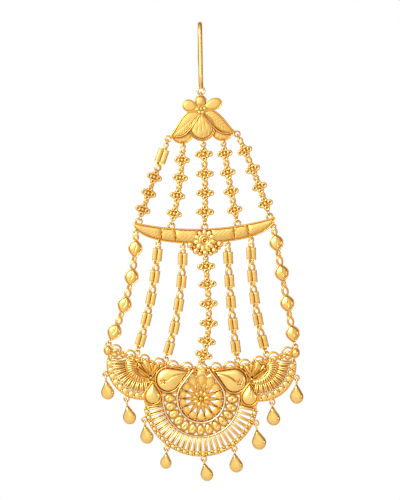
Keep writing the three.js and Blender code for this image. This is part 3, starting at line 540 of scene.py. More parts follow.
# Crescent bar: a curved plate with feather-engraved panels between polished rims. Soldered to it are a boss
# with petals and florets, rings on top for the upper strands and eyelets below for the lower ones.
BAR = {"x": 1.9, "y": -81.5, "tilt": 2.1}
BAR_HALF = 26.6
BAR_TOP = {"middle": 4.2, "end": 7.6}
BAR_DEPTH, BAR_TAPER = 5.0, 5
BOSS = {"radius": 3.1, "petals": 11}
FLORET = {"radius": 1.35, "reach": 5.3, "spread": 1.26, "count": 5, "first": 198, "step": 36}
BAR_RING = {"radius": 1.1, "wire": 0.3}
BAR_RINGS_AT = (-0.93, -0.47, 0, 0.47, 0.93)
BAR_EYELETS_AT = (-0.975, -0.66, -0.32, 0, 0.32, 0.66, 0.975)
PANELS = [
    {"from": 0.1, "to": 0.415, "cuts": 5, "slant": 1.8},
    {"from": 0.42, "to": 0.615, "cuts": 3, "slant": -2.2},
    {"from": 0.62, "to": 0.985, "cuts": 7, "slant": 2.0},
]


def bar_top(x):
    return BAR_TOP["middle"] + (BAR_TOP["end"] - BAR_TOP["middle"]) * (x / BAR_HALF) ** 2


def bar_bottom(x):
    return bar_top(x) - BAR_DEPTH * np.sqrt(np.maximum(0, 1 - np.abs(x / BAR_HALF) ** BAR_TAPER))


bar_rings = [(x, bar_top(x) + BAR_RING["radius"]) for x in BAR_HALF * np.array(BAR_RINGS_AT)]
bar_eyelets = []
for x in BAR_HALF * np.array(BAR_EYELETS_AT):
    lowest = bar_bottom(x) if x else -FLORET["reach"]
    bar_eyelets.append((x, lowest - EYELET["radius"] / 2))

bar_fields, bar_boss, bar_rims = Metal(), Metal(), Metal()
x = np.linspace(-BAR_HALF, BAR_HALF, 121)
top_edge, bottom_edge = np.stack([x, bar_top(x)], -1), np.stack([x, bar_bottom(x)], -1)
field(bar_rims, top_edge, bottom_edge, flat(PLATE_FRONT), across=4)
bar_rims.wire(raised(top_edge, 0.35), 0.32, 8)
bar_rims.wire(raised(bottom_edge, 0.35), 0.28, 8)
for side in (-1, 1):
    for panel in PANELS:
        x = side * BAR_HALF * np.linspace(panel["from"], panel["to"], 40)
        depth = bar_top(x) - bar_bottom(x)
        inset = np.minimum(0.2, depth * 0.15)
        upper, lower = np.stack([x, bar_top(x) - inset], -1), np.stack([x, bar_bottom(x) + inset], -1)

        def panel_front(u, v, panel=panel):
            swell = np.sqrt(np.clip(1 - (2 * v - 1) ** 2, 0, 1) * np.clip(1 - (2 * u - 1) ** 6, 0, 1))
            return 0.3 + 0.45 * swell + strokes(u, v, panel["cuts"], panel["slant"], 0.08)

        field(bar_fields, upper, lower, panel_front, back=-0.2, across=18)
        slope = side * (1.1 if panel["slant"] > 0 else -1.1)
        divider = [upper[-1] + (slope, 0), (upper[-1] + lower[-1]) / 2, lower[-1] - (slope, 0)]
        if panel["to"] < 0.9:
            bar_rims.wire(raised(smooth_line(divider, 10), 0.55), 0.2, 6)

skirt = arc(180, 360, FLORET["reach"], 37) * (FLORET["spread"], 1)
dome(bar_rims, skirt, (0, -1), flat(PLATE_FRONT + 0.05), back=PLATE_BACK - 0.05, steps=3)
for k in range(BOSS["petals"]):
    angle = 90 + k * 360 / BOSS["petals"]
    bar_boss.put(pad(0.98, 1.35, 1.0, 0.55), *on_circle(angle, BOSS["radius"] - 0.1), angle + 90)
bar_boss.ring(0, 0, BOSS["radius"] - 1.0, 0.3, z=0.85, sides=48)
dome(bar_boss, arc(0, 360, BOSS["radius"] - 1.1, 41)[:-1], (0, 0), lambda s: 0.5 + 0.6 * s**1.5, back=-0.1)
bar_boss.ring(0, 0, 1.12, 0.3, z=0.95, sides=28, wire_sides=10)
ball(bar_rims, 0, 0, 0.55, 0.5, 0.8, 8, 14)
for k in range(FLORET["count"]):
    angle = FLORET["first"] + FLORET["step"] * k
    fx, fy = on_circle(angle, FLORET["reach"] - FLORET["radius"] * 0.45)
    fx *= FLORET["spread"]
    bar_boss.put(pad(FLORET["radius"] * 0.9, FLORET["radius"] * 0.98, 1.0, 0.3), fx, fy, angle + 90)
    ball(bar_rims, fx, fy, 1.0, 0.3, 0.8)
    if k < FLORET["count"] - 1:
        for inwards, size in ((1.3, 0.55), (0.1, 0.9 if k in (1, 2) else 0.55)):
            x, y = on_circle(angle + FLORET["step"] / 2, FLORET["reach"] - inwards)
            ball(bar_boss, x * FLORET["spread"], y, 0.4, size)
for x, y in bar_rings:
    bar_rims.ring(x, y, BAR_RING["radius"], BAR_RING["wire"] + 0.06)
for x, y in bar_eyelets:
    bar_rims.ring(x, y, EYELET["radius"], EYELET["wire"], yaw=90)

bar_fields.hung(BAR).make("bar_panels", brushed, "satin_gold", ["crescent_bar"])
bar_boss.hung(BAR).make("bar_boss", satin, "satin_gold")
bar_rims.hung(BAR).make("bar_rims", polished, "satin_gold")

# Fan plaque: pierced filigree, soldered from bent wire loops, beads and domed plates. A rosette in the middle
# has a ring of petals and a fan of hairpin loops round it, and a paisley, a drop and a wing on each side.
FAN = {"x": 0.4, "y": -141.3, "tilt": -0.8}
ROSETTE = {"radius": 9.0, "tip": 14.9, "petals": 14, "wire": 0.35, "heart_petals": 9}
PETALS = {"count": 13, "radius": 14.4, "foot": 14.6}
RIM = {"radius": 21.9, "loops": 24, "start": 191, "end": 349}
WING = {"x": 22.2, "y": 12.9, "radius": 13.7, "loops": 9, "start": 175, "end": 279, "half_loop": 2.7}
WING_LEG = ((1, 7.0, 0.3), (0.7, 9.6, 0.4), (7 / 6, 12.4, 0.1))
GROUND_BACK = PLATE_BACK - 0.1
RIB_BAND = {"inner": 2.9, "outer": 6.3, "rise": 1.05, "start": 160, "end": 294, "ribs": 15, "cut": 0.34}
TOP_EDGE = {"middle": 11.4, "bend": 82}
ARCHES = {"pitch": 5.43, "radius": 2.4, "wire": 0.74}
PAISLEY = {"x": 12.6, "y": 7.1, "radius": 4.7, "tip": 8.9, "rise": 1.6, "turn": 23}
PAISLEY_FLOWER = (-1.9, 0.1)
SIDE_DROP = {"x": 18.3, "y": 0.8, "radius": 3.2, "tip": 5.7, "rise": 1.5}
END_KNOB = {"radius": 1.5, "below": 1.2}
FAN_RING = {"radius": 0.95, "wire": 0.3}
SEATS = ((-6.5, 1.2), (-4.5, 2.2), (-2.5, 2.2), (0, 2.7), (2.5, 2.2), (4.5, 2.2), (6.5, 1.2))
WING_JOINT = (19.0, 7.6)
WING_PETALS = ((42, 7.9, 1.3, 0.5), (21, 7.3, 1.35, 0.8), (-1, 6.3, 1.3, 0.55), (-21, 5.6, 1.05, 0.8))
WING_GRANULES = ((0, 0.1, 0.65), (3.6, 7.2, 0.6), (1.6, 6.9, 0.55), (-0.6, 6.0, 0.6), (-2.6, 5.2, 0.6),
                 (4.8, 4.2, 0.4), (-2.2, 2.2, 0.5), (-3.6, 4.4, 0.45))
SIDE_GROUND = [(2.9, 11.2), (9, 11.5), (16, 12.6), (25.2, 14.4), (25, 10), (22.5, 7.8), (21.5, 3),
               (21.6, -0.6), (21, -4), (14.5, -3), (14.6, 1.4), (9.2, 1.6), (8.6, 3.2), (7.2, 5.4)]
TIP_GROUND = [(-2.7, 11.2), (2.7, 11.2), (5.8, 7.3), (3.4, 8.3), (0, 9.0), (-3.4, 8.3), (-5.8, 7.3)]


def fan_top(x):
    return TOP_EDGE["middle"] + x * x / (2 * TOP_EDGE["bend"])


fan_rims = {
    "left": (-WING["x"], WING["y"], WING["radius"]),
    "middle": (0, 0, RIM["radius"]),
    "right": (WING["x"], WING["y"], WING["radius"]),
}
fan_rings = [(arch * ARCHES["pitch"], fan_top(arch * ARCHES["pitch"]) + lift) for arch, lift in SEATS]


def petal(radius, tip, wire, rise, filled=0.9, z=0.25):
    """A petal that points up, its round end about the origin: its rim of wire and the domed plate in it."""
    edge = drop_outline(radius, tip, 28)
    rim, plate = Metal(), Metal()
    rim.wire(raised(edge, z), wire, 6, closed=True)
    if filled:
        dome(plate, edge * filled, (0, 0), swelling(rise, z - 0.15), back=-0.3, steps=6)
    return rim, plate


# A paler gold for the rosette's rim and the thin ring: the paleness is a painted highlight, the light these
# wires catch.
highlight_painted_gold = gold("pale gold with painted highlight", (1.0, 0.86, 0.52), (0.75, 0.35, 0.06), (0.28, 0.34), 1500.0, 0.000002)
fan_wires, fan_plates, fan_lines = Metal(), Metal(), Metal()

# The rosette: a granulated flower, wire petals round it with a satin scale at their round ends, a
# painted-highlight rim
rosette_edge = drop_outline(ROSETTE["radius"], ROSETTE["tip"], 240)
rosette_edge = np.roll(rosette_edge, 60, 0)
top_left = np.argmax((rosette_edge[:, 0] < 0) & (rosette_edge[:, 1] > fan_top(0) - 0.4))
rosette_edge = np.roll(rosette_edge, -top_left, 0)
rosette_edge = rosette_edge[rosette_edge[:, 1] < fan_top(0) - 0.3]
fan_lines.wire(raised(rosette_edge, 0.75), ROSETTE["wire"], 10)
for share in (0.96, 1.04):
    fan_wires.wire(raised(rosette_edge * share, -0.1), 0.22, 6)
for k in range(ROSETTE["petals"]):
    angle = 90 + k * 360 / ROSETTE["petals"]
    longer = 1.6 * max(0.0, math.sin(math.radians(angle)) - 0.55) / 0.45
    rim, plate = petal(1.45, 4.6, 0.46, 0, filled=0)
    fan_wires.put(rim, *on_circle(angle, 6.6 + longer * 0.6), angle + 90, z=-0.05)
    fan_plates.put(pad(1.62, 1.5 + longer, 0.5, 0.25), *on_circle(angle, 7.1 + longer * 0.7), angle + 90)
    between_petals = angle + 180 / ROSETTE["petals"]
    inner_end, outer_end = on_circle(between_petals, 2.8), on_circle(between_petals, 5.9)
    fan_wires.wire([(*inner_end, 0.25), (*outer_end, 0.1)], (0.34, 0.5), 6)
    ball(fan_wires, *on_circle(between_petals, 8.05), 0.0, 0.42)
heart_step = 360 / ROSETTE["heart_petals"]
for k in range(ROSETTE["heart_petals"]):
    angle = 90 + k * heart_step
    rim, plate = petal(0.72, 1.9, 0.17, 0.5)
    fan_wires.put(rim, *on_circle(angle, 2.35), angle + 90, z=0.25)
    fan_plates.put(plate, *on_circle(angle, 2.35), angle + 90, z=0.25)
    ball(fan_wires, *on_circle(angle + heart_step / 2, 3.1), 0.3, 0.26)
    ball(fan_wires, *on_circle((k + 0.5) * heart_step, 1.15), 0.6, 0.28)
ball(fan_wires, 0, 0, 0.6, 0.85, 0.8, 10, 16)
dome(fan_wires, TIP_GROUND, (0, 10.0), flat(-0.35), steps=3)

# The petals round its lower half, each with a dimple, and the thin ring that holds them
for k in range(PETALS["count"]):
    angle = 180 + k * 180 / (PETALS["count"] - 1)
    turn = np.radians(np.linspace(0, 360, 41)[:-1])
    half = 1.46 + 0.1 * abs(math.cos(math.radians(angle)))
    edge = np.stack([half * np.cos(turn) * (1 - 0.16 * np.sin(turn)), 2.25 * np.sin(turn)], -1)
    leaf_rim, leaf = Metal(), Metal()
    leaf_rim.wire(raised(edge * 0.97, 0.3), 0.25, 6, closed=True)
    dome(leaf, edge * 0.9, (0, -0.3), swelling(1.05, 0.25, 2.3), back=-0.4, steps=12,
         relief=lambda x, y, s: -0.4 * np.exp(-((x / 0.3) ** 2 + ((y + 0.3) / 0.5) ** 2)))
    place = (*on_circle(angle, (PETALS["radius"] + ROSETTE["radius"]) / 2 + 0.05), angle + 90)
    fan_plates.put(leaf, *place)
    fan_wires.put(leaf_rim, *place)
# The thin ring is in the paler gold, whose paleness is a painted highlight.
fan_lines.wire(raised(arc(174, 366, PETALS["radius"], 97), 0.6), 0.28, 8)
for apart in (-0.3, 0.3):
    fan_wires.wire(raised(arc(176, 364, PETALS["radius"] + apart, 97), -0.2), 0.18, 6)

# The fan of hairpin loops, whose legs stand side by side, and the scalloped rim at their rounded ends
bend_wire = Metal()
bend_wire.wire(raised(arc(180, 360, 1, 9) * (0.72, 0.55), 0.15), 0.2, 6)
loop_step = (RIM["end"] - RIM["start"]) / RIM["loops"]
for k in range(RIM["loops"] + 1):
    angle = RIM["start"] + k * loop_step
    apart = 1.45 - 0.7 * k / RIM["loops"]
    ground_sides = []
    for leg in (-apart, apart):
        foot, end = on_circle(angle + leg, PETALS["foot"]), on_circle(angle + leg * 0.9, RIM["radius"] - 1.5)
        fan_plates.wire([(*foot, 0.15), (*end, 0.15)], 0.36, 8)
        ground_sides.append(np.array([foot, on_circle(angle + leg, RIM["radius"] - 1.5)]))
    field(fan_wires, *ground_sides, flat(-0.25), across=2)
    ball(fan_wires, *on_circle(angle, RIM["radius"] - 1.6), 0.2, 0.5, 0.8)
    ball(fan_wires, *on_circle(angle, PETALS["radius"] + 1.0), 0.2, 0.34)
    ball(fan_plates, *on_circle(angle, RIM["radius"] - 0.55), -0.1, 0.5)
    if k < RIM["loops"]:
        bend_at = angle + loop_step / 2
        fan_plates.put(pad(0.98, 0.95, 0.7), *on_circle(bend_at, RIM["radius"] - 0.95), bend_at + 90)
        fan_wires.put(bend_wire, *on_circle(bend_at, RIM["radius"] - 2.0), bend_at + 90)
for below, wire in ((1.55, 0.26), (0.3, 0.3)):
    fan_wires.wire(raised(arc(RIM["start"], RIM["end"], RIM["radius"] - below, 97), -0.2), wire, 6)

for side in (-1, 1):
    # A paisley: a domed comma with an engraved stem and flower
    heart = np.array([side * PAISLEY["x"], PAISLEY["y"]])
    edge = drop_outline(PAISLEY["radius"], PAISLEY["tip"], 90)
    comma, tip = (moved(line, *heart, PAISLEY["turn"] - 90, -side) for line in (edge, [(0, PAISLEY["tip"])]))
    ahead_of = unit(tip[0] - heart)

    def vein(x, y, s, heart=heart, ahead_of=ahead_of, side=side):
        along = (x - heart[0]) * ahead_of[0] + (y - heart[1]) * ahead_of[1]
        across = side * ((x - heart[0]) * ahead_of[1] - (y - heart[1]) * ahead_of[0])
        stem = np.exp(-(((across - 0.5 * np.sin(along * 0.55)) / 0.23) ** 2)) * (along > -0.6) * (along < 7.4)
        bloom_x, bloom_y = along - PAISLEY_FLOWER[0], across - PAISLEY_FLOWER[1]
        out = np.hypot(bloom_x, bloom_y)
        bloom = 0.75 + 0.3 * np.cos(5 * np.arctan2(bloom_y, bloom_x))
        flower = np.exp(-(((out - bloom) / 0.18) ** 2)) + 0.8 * np.exp(-((out / 0.25) ** 2))
        return -0.38 * stem - 0.32 * flower

    dome(fan_plates, heart + (comma - heart) * 0.91, heart, swelling(PAISLEY["rise"], 0.5, 3.2), steps=32,
         relief=vein)
    fan_wires.wire(raised(comma, 0.1), 0.38, 10, closed=True)
    fan_plates.wire(raised(heart + (comma - heart) * 1.02, 0.5), 0.2, 8, closed=True)

    # The ground plate behind the paisley and the joint of the wing
    dome(fan_plates, np.array(SIDE_GROUND) * (side, 1), (side * 15.5, 6.5), flat(-0.25),
         back=GROUND_BACK, steps=3)

    # A side drop, plain and domed, with a short slit in the right one
    heart = np.array([side * SIDE_DROP["x"], SIDE_DROP["y"]])
    edge = moved(drop_outline(SIDE_DROP["radius"], SIDE_DROP["tip"], 56), *heart)
    depth = 0.3 if side > 0 else 0.0

    def slit(x, y, s, heart=heart, depth=depth):
        return -depth * np.exp(-(((x - heart[0] - 0.35) / 0.2) ** 2 + ((y - heart[1] - 1.1) / 1.1) ** 2))

    dome(fan_plates, heart + (edge - heart) * 0.9, heart, swelling(SIDE_DROP["rise"], 0.35, 2.5), steps=16,
         relief=slit)
    fan_wires.wire(raised(edge, 0.35), 0.36, 8, closed=True)

    # A wing: a ribbed crescent, hairpin loops round it on a fine ground plate, and a scalloped rim
    def around_wing(angle, radius, side=side):
        px, py = on_circle(angle, radius)
        return side * (WING["x"] - px), WING["y"] + py

    def wing_line(angles, radii):
        return np.array([around_wing(a, r) for a, r in zip(angles, np.broadcast_to(radii, len(angles)))])

    ribs = np.linspace(0, 1, 160)
    rib_angles = RIB_BAND["start"] + (RIB_BAND["end"] - RIB_BAND["start"]) * ribs
    closing = np.sqrt(np.clip(1 - (1 - np.clip(ribs / 0.13, 0, 1)) ** 2, 0.02, 1))
    middle_radius = (RIB_BAND["inner"] + RIB_BAND["outer"]) / 2 + 2.2 * ribs**2
    half_width = ((RIB_BAND["outer"] - RIB_BAND["inner"]) / 2 - 1.1 * ribs**3) * closing
    outer_edge = wing_line(rib_angles, middle_radius + half_width)
    inner_edge = wing_line(rib_angles, middle_radius - half_width)

    def ribbed(u, v):
        round_top = np.sqrt(np.clip(1 - (2 * v - 1) ** 2, 0, 1))
        ribs_up = RIB_BAND["rise"] * np.clip(np.sin(np.pi * np.clip(u, 0.03, 0.97)), 0, 1) ** 0.5
        cuts = RIB_BAND["cut"] * np.maximum(0, np.cos(2 * np.pi * u * RIB_BAND["ribs"])) ** 3
        return 0.25 + round_top**0.8 * (ribs_up - cuts)

    field(fan_plates, outer_edge, inner_edge, ribbed, back=-0.3, across=12)
    fan_wires.wire(raised(outer_edge, 0.25), 0.42, 8)
    fan_wires.wire(raised(inner_edge, 0.25), 0.42, 8)
    wing_angles = np.linspace(WING["start"], WING["end"], 57)
    ground_in = wing_line(wing_angles, 6.6 + 0.006 * (wing_angles - WING["start"]))
    field(fan_plates, wing_line(wing_angles, 10.5), ground_in, flat(-0.15), back=GROUND_BACK, across=2)
    wing_step = (WING["end"] - WING["start"]) / WING["loops"]
    for k in range(WING["loops"] + 1):
        angle = WING["start"] + k * wing_step
        bend_at = angle + wing_step / 2
        outward = 90 + (bend_at if side < 0 else 180 - bend_at)
        for leg in (-WING["half_loop"], WING["half_loop"]):
            leg_line = [(*around_wing(angle + leg * out, radius), lift) for out, radius, lift in WING_LEG]
            fan_plates.wire(leg_line, 0.34, 8)
        ball(fan_wires, *around_wing(angle, WING["radius"] - 2.0), 0.0, 0.4, 0.8)
        ball(fan_plates, *around_wing(angle, WING["radius"] - 0.75), -0.1, 0.55)
        if k < WING["loops"]:
            fan_plates.put(pad(1.3, 1.45, 0.6), *around_wing(bend_at, WING["radius"] - 1.5), outward)
    for radius, wire in ((7.3, 0.3), (WING["radius"] - 0.3, 0.3)):
        fan_wires.wire(raised(wing_line(wing_angles, radius), -0.05), wire, 6)

    # Between the crescent and the top edge: four rimmed petals fanned out from the joint beside the paisley
    joint = (side * WING_JOINT[0], WING_JOINT[1])
    for turn_out, reach, width, filled in WING_PETALS:
        outward = 90 - side * turn_out
        at = on_circle(outward, reach - width, *joint)
        rim, plate = petal(width, reach - width + 0.1, 0.38, 0.6, filled)
        fan_wires.put(rim, *at, outward + 90)
        fan_plates.put(plate, *on_circle(outward, 0.25, *at), outward + 90)
    for gx, gy, size in WING_GRANULES:
        ball(fan_plates, joint[0] + side * gx, joint[1] + gy, 0.2, size)

    # The shoulder above the wing: a leaf pad and a curl beside the end knob
    end_x = around_wing(180, WING["radius"] - END_KNOB["radius"] * 0.3)[0]
    end_y = fan_top(end_x) - END_KNOB["below"]
    knob = arc(0, 360, 1, 25)[:-1] * (END_KNOB["radius"] * 0.92, END_KNOB["radius"] * 1.12) + (end_x, end_y)
    dome(fan_plates, knob, (end_x, end_y), swelling(1.2, 0), steps=8)
    fan_wires.wire(raised(knob, 0.1), 0.28, 8, closed=True)
    rim, plate = petal(0.95, 2.3, 0.26, 0.8)
    fan_wires.put(rim, side * 32.6, 16.2, side * -78)
    fan_plates.put(plate, side * 32.6, 16.2, side * -78)
    ball(fan_plates, side * 30.4, 15.1, 0.2, 0.6)
    ball(fan_plates, side * 34.4, 15.0, 0.2, 0.55)
    wing_end = around_wing(WING["start"], WING["radius"] - 0.4)
    shoulder = [wing_end, (side * 35.2, 15.0), (end_x - side * 0.4, end_y - 1.3)]
    fan_wires.wire(raised(smooth_line(shoulder, 12), 0.0), 0.34, 8)
    for low in (0, 1.15):
        brow = [(side * 35.0, 14.6 - low * 0.7), (side * 31.5, 14.7 - low), (side * 28.6, 15.4 - low)]
        fan_wires.wire(raised(smooth_line(brow, 14), 0.05), 0.28, 6)

# The top edge: two wires with flat beads between them, arches of wire on top and the strands' rings
fan_half = WING["x"] + WING["radius"]
arch_count = math.floor((fan_half - ARCHES["radius"]) / ARCHES["pitch"])
edge_x = np.linspace(-fan_half, fan_half, 161)
for below, wire in ((0.05, 0.34), (1.15, 0.3)):
    fan_wires.wire(raised(np.stack([edge_x, fan_top(edge_x) - below], -1), 0.1), wire, 8)
for bx in np.linspace(edge_x[0] + 1, edge_x[-1] - 1, 40):
    fan_plates.put(pad(0.82, 0.5, 0.5), bx, fan_top(bx) - 0.6, math.degrees(math.atan(bx / TOP_EDGE["bend"])))
for k in range(-arch_count, arch_count + 1):
    ax = k * ARCHES["pitch"]
    foot_y = float(fan_top(ax))
    half_ring = arc(-4, 184, ARCHES["radius"] - ARCHES["wire"] / 2, 25, ax, foot_y)
    fan_wires.wire(raised(half_ring, 0.1), ARCHES["wire"] / 2, 8)
    fan_plates.put(pad(1.2, 0.6, 0.5), ax + 0.2, foot_y + 0.1)
    foot_x = ax + ARCHES["pitch"] / 2
    if k < arch_count:
        ball(fan_wires, foot_x, fan_top(foot_x) + 0.35, 0.3, 0.5)
for x, y in fan_rings:
    fan_wires.ring(x, y, FAN_RING["radius"], FAN_RING["wire"])
    fan_wires.wire(raised([(x, float(fan_top(x)) - 0.3), (x, y - FAN_RING["radius"] + 0.1)], 0), 0.3, 8)

DROPS = [
    {"rim": "left", "angle": 196, "lean": 7, "loop": 1.8, "size": 1.0},
    {"rim": "left", "angle": 246, "lean": 10, "loop": 1.8, "size": 1.0},
    {"rim": "middle", "angle": 201, "lean": 9, "loop": 1.3, "size": 1.0},
    {"rim": "middle", "angle": 236, "lean": -4, "loop": 1.0, "size": 0.85},
    {"rim": "middle", "angle": 273.5, "lean": 13, "loop": 1.0, "size": 0.95},
    {"rim": "middle", "angle": 304.5, "lean": 7, "loop": 1.1, "size": 1.0},
    {"rim": "middle", "angle": 337, "lean": 10, "loop": 1.8, "size": 1.06},
    {"rim": "right", "angle": 289, "lean": 5, "loop": 1.0, "size": 1.0},
    {"rim": "right", "angle": 342, "lean": 0, "loop": 1.8, "size": 1.0},
]
drop_rings = []
for hanging in DROPS:
    rx, ry, radius = fan_rims[hanging["rim"]]
    drop_rings.append(on_circle(hanging["angle"], radius + FAN_RING["radius"] * 0.9, rx, ry))
    fan_wires.ring(*drop_rings[-1], FAN_RING["radius"], FAN_RING["wire"])

fan_plates.hung(FAN).make("fan_plates", satin, "satin_gold", ["fan_plaque"])
fan_wires.hung(FAN).make("fan_filigree", polished, "satin_gold")
fan_lines.hung(FAN).make("fan_ring_wires", highlight_painted_gold, "satin_gold")

# Strands: flower links of four wire loops round a granulated middle, fluted barrels and puffed leaves, joined
# by small open wire rings. Five of them run from the crown to the bar, and seven from the bar to the fan.
LINK_RING = {"radius": 0.85, "wire": 0.31}
JOINT_SINK, JOINT_WIRE = 0.3, 0.44
LEAST_JOINT, TWO_RINGS_FROM = 0.35, 2.9
JOINT_RINGS = {1: [(1, 0.78, 10)], 2: [(0.86, 0.75, 35), (1.14, 0.95, 0)]}
QUATREFOIL = {"narrow": 1.8, "wide": 2.3, "short": 1.75, "wire": 0.43, "end": 2.67}
BARREL = {"width": 3.6, "length": 4.7, "back": -0.6}
LEAF_LINK = {"radius": 2.6, "tip": 3.9, "foot": 3.0, "rise": 0.85}


def quatrefoil(reach):
    made = Metal()
    for angle, out, lobe in ((0, reach, 0.7), (90, QUATREFOIL["short"], 0.68),
                             (180, reach, 0.7), (270, QUATREFOIL["short"], 0.68)):
        made.ring(*on_circle(angle, out), lobe, QUATREFOIL["wire"], z=0.3, sides=18)
    core = reach + 0.05
    diamond = arc(0, 360, 1, 41)[:-1]
    diamond = np.sign(diamond) * np.abs(diamond) ** 1.3 * (core + 0.15, 1.9)
    dome(made, diamond, (0, 0), swelling(0.6, 0.15, 2.6), back=-0.35, steps=10,
         relief=lambda x, y, s: -0.3 * np.exp(-(((np.hypot(x, y) - 0.95) / 0.14) ** 2)))
    ball(made, 0, 0, 0.45, 0.7, 0.9, 8, 14)
    for k in range(4):
        angle = math.radians(45 + 90 * k)
        ball(made, core * 0.78 * math.cos(angle), 1.5 * math.sin(angle), 0.25, 0.5)
    if reach > 2:
        for side in (-1, 1):
            ball(made, side * 1.45, 0, 0.4, 0.4)
            ball(made, 0, side * 1.35, 0.4, 0.34)
    return made


def barrel(size):
    made = Metal()
    half = BARREL["length"] / 2 * size
    across = np.linspace(-1, 1, 49)
    top, bottom = (np.stack([across * BARREL["width"] / 2 * size, np.full(49, y)], -1) for y in (half, -half))

    def fluted(u, v):
        flutes = 0.55 + 0.16 * np.abs(np.sin(2 * np.pi * u)) ** 0.6
        sides_down = -0.25 * (np.clip(np.abs(2 * u - 1) - 0.75, 0, 1) / 0.25) ** 2
        groove = np.exp(-(((np.abs(2 * v - 1) - 0.84) / 0.05) ** 2))
        middle_groove = np.exp(-(((u - 0.47) / 0.035) ** 2)) * (v > 0.12) * (v < 0.88)
        return flutes + sides_down - 0.1 * groove - 0.3 * middle_groove

    field(made, top, bottom, fluted, back=BARREL["back"], across=30)
    return made


def leaf_link(ridge):
    made = Metal()
    t = np.linspace(0, 1, 25)
    bulge = LEAF_LINK["radius"] * np.sin(np.pi * t**0.92) ** 0.85
    level = LEAF_LINK["tip"] - (LEAF_LINK["tip"] + LEAF_LINK["foot"]) * t
    right, left = np.stack([bulge, level], -1), np.stack([-bulge, level], -1)
    edge = evenly(np.vstack([right, left[::-1][1:-1]]), 48, closed=True)
    made.wire(raised(edge * 0.94, 0.0), 0.28, 8, closed=True)

    def veined(x, y, s):
        cut = -0.14 * np.exp(-(((x - 0.25 * np.sin(1.5 * y)) / 0.14) ** 2)) * (s < 0.8)
        return cut + (0.3 * np.exp(-((x / 0.4) ** 2)) * (1 - s) if ridge else 0.0)

    dome(made, edge * 0.87, (0, 0), swelling(LEAF_LINK["rise"], 0.15, 2.6), back=-0.5, steps=14,
         relief=veined)
    return made


flower_end = QUATREFOIL["end"]
barrel_end = BARREL["length"] / 2 - JOINT_SINK
leaf_head, leaf_foot = LEAF_LINK["tip"] - JOINT_SINK, LEAF_LINK["foot"] - JOINT_SINK
LINKS = {
    "narrow": (quatrefoil(QUATREFOIL["narrow"]), flower_end, flower_end),
    "wide": (quatrefoil(QUATREFOIL["wide"]), flower_end, flower_end),
    "barrel": (barrel(1.0), barrel_end, barrel_end),
    "big_barrel": (barrel(1.14), barrel_end * 1.1, barrel_end * 1.1),
    "leaf": (leaf_link(False), leaf_head, leaf_foot),
    "ridged": (leaf_link(True), leaf_head, leaf_foot),
}
UPPER = [
    {"links": ["big_barrel"] + ["narrow"] * 3, "corner": True, "lower": [1.3, 2.4, 1.1, 0]},
    {"links": ["narrow"] * 4, "bow": 0.8, "lower": [1.5, 0.9, 0.4, -0.1]},
    {"links": ["wide"] * 4, "bow": 0.5, "lower": [0.2, 0, -0.4, -0.9]},
    {"links": ["narrow"] * 4, "bow": -0.3, "lower": [0.2, 0, -0.2, -0.6]},
    {"links": ["narrow"] * 4, "corner": True, "bow": 0.6, "lower": [0.9, 0.9, 0.4, -0.4]},
]
LOWER = [
    {"links": ["leaf"] * 4, "bow": 2.7, "stem": 2.3},
    {"links": ["barrel"] * 5, "bow": 1.3, "lower": [1.5, 0.9, 0.6, -0.3, -0.9]},
    {"links": ["barrel"] * 5, "bow": 1.9, "lower": [2.0, 1.3, 1.0, 0.7, -0.5]},
    {"links": ["wide"] * 6, "bow": 2.0, "skew": 0.6, "lower": [-0.4, 0.1, 1.2, 2.4, 3.0, 2.0]},
    {"links": ["barrel"] * 5, "bow": -0.6, "lower": [2.2, 1.6, 0.3, -0.6, -1.3]},
    {"links": ["barrel"] * 5, "bow": -1.7, "lower": [2.3, 1.6, 0.7, -0.3, -0.9]},
    {"links": ["ridged"] * 4, "stem": 2.3},
]


def on_plaque(plaque, point):
    return moved([point], plaque["x"], plaque["y"], plaque["tilt"])[0]


crown_hangers = [(-crown_corner[0], crown_corner[1]), *crown_eyelets, crown_corner]
for k, strand in enumerate(UPPER):
    strand.update(name=f"upper_strand_{k + 1}", end=BAR_RING)
    strand.update(start=on_plaque(CROWN, crown_hangers[k]), foot=on_plaque(BAR, bar_rings[k]))
for k, strand in enumerate(LOWER):
    strand.update(name=f"lower_strand_{k + 1}", end=FAN_RING)
    strand.update(start=on_plaque(BAR, bar_eyelets[k]), foot=on_plaque(FAN, fan_rings[k]))

link_gold = gold("link gold", (1.0, 0.7, 0.23), (0.5, 0.14, 0.006), (0.22, 0.36), 2800.0, 0.000012)


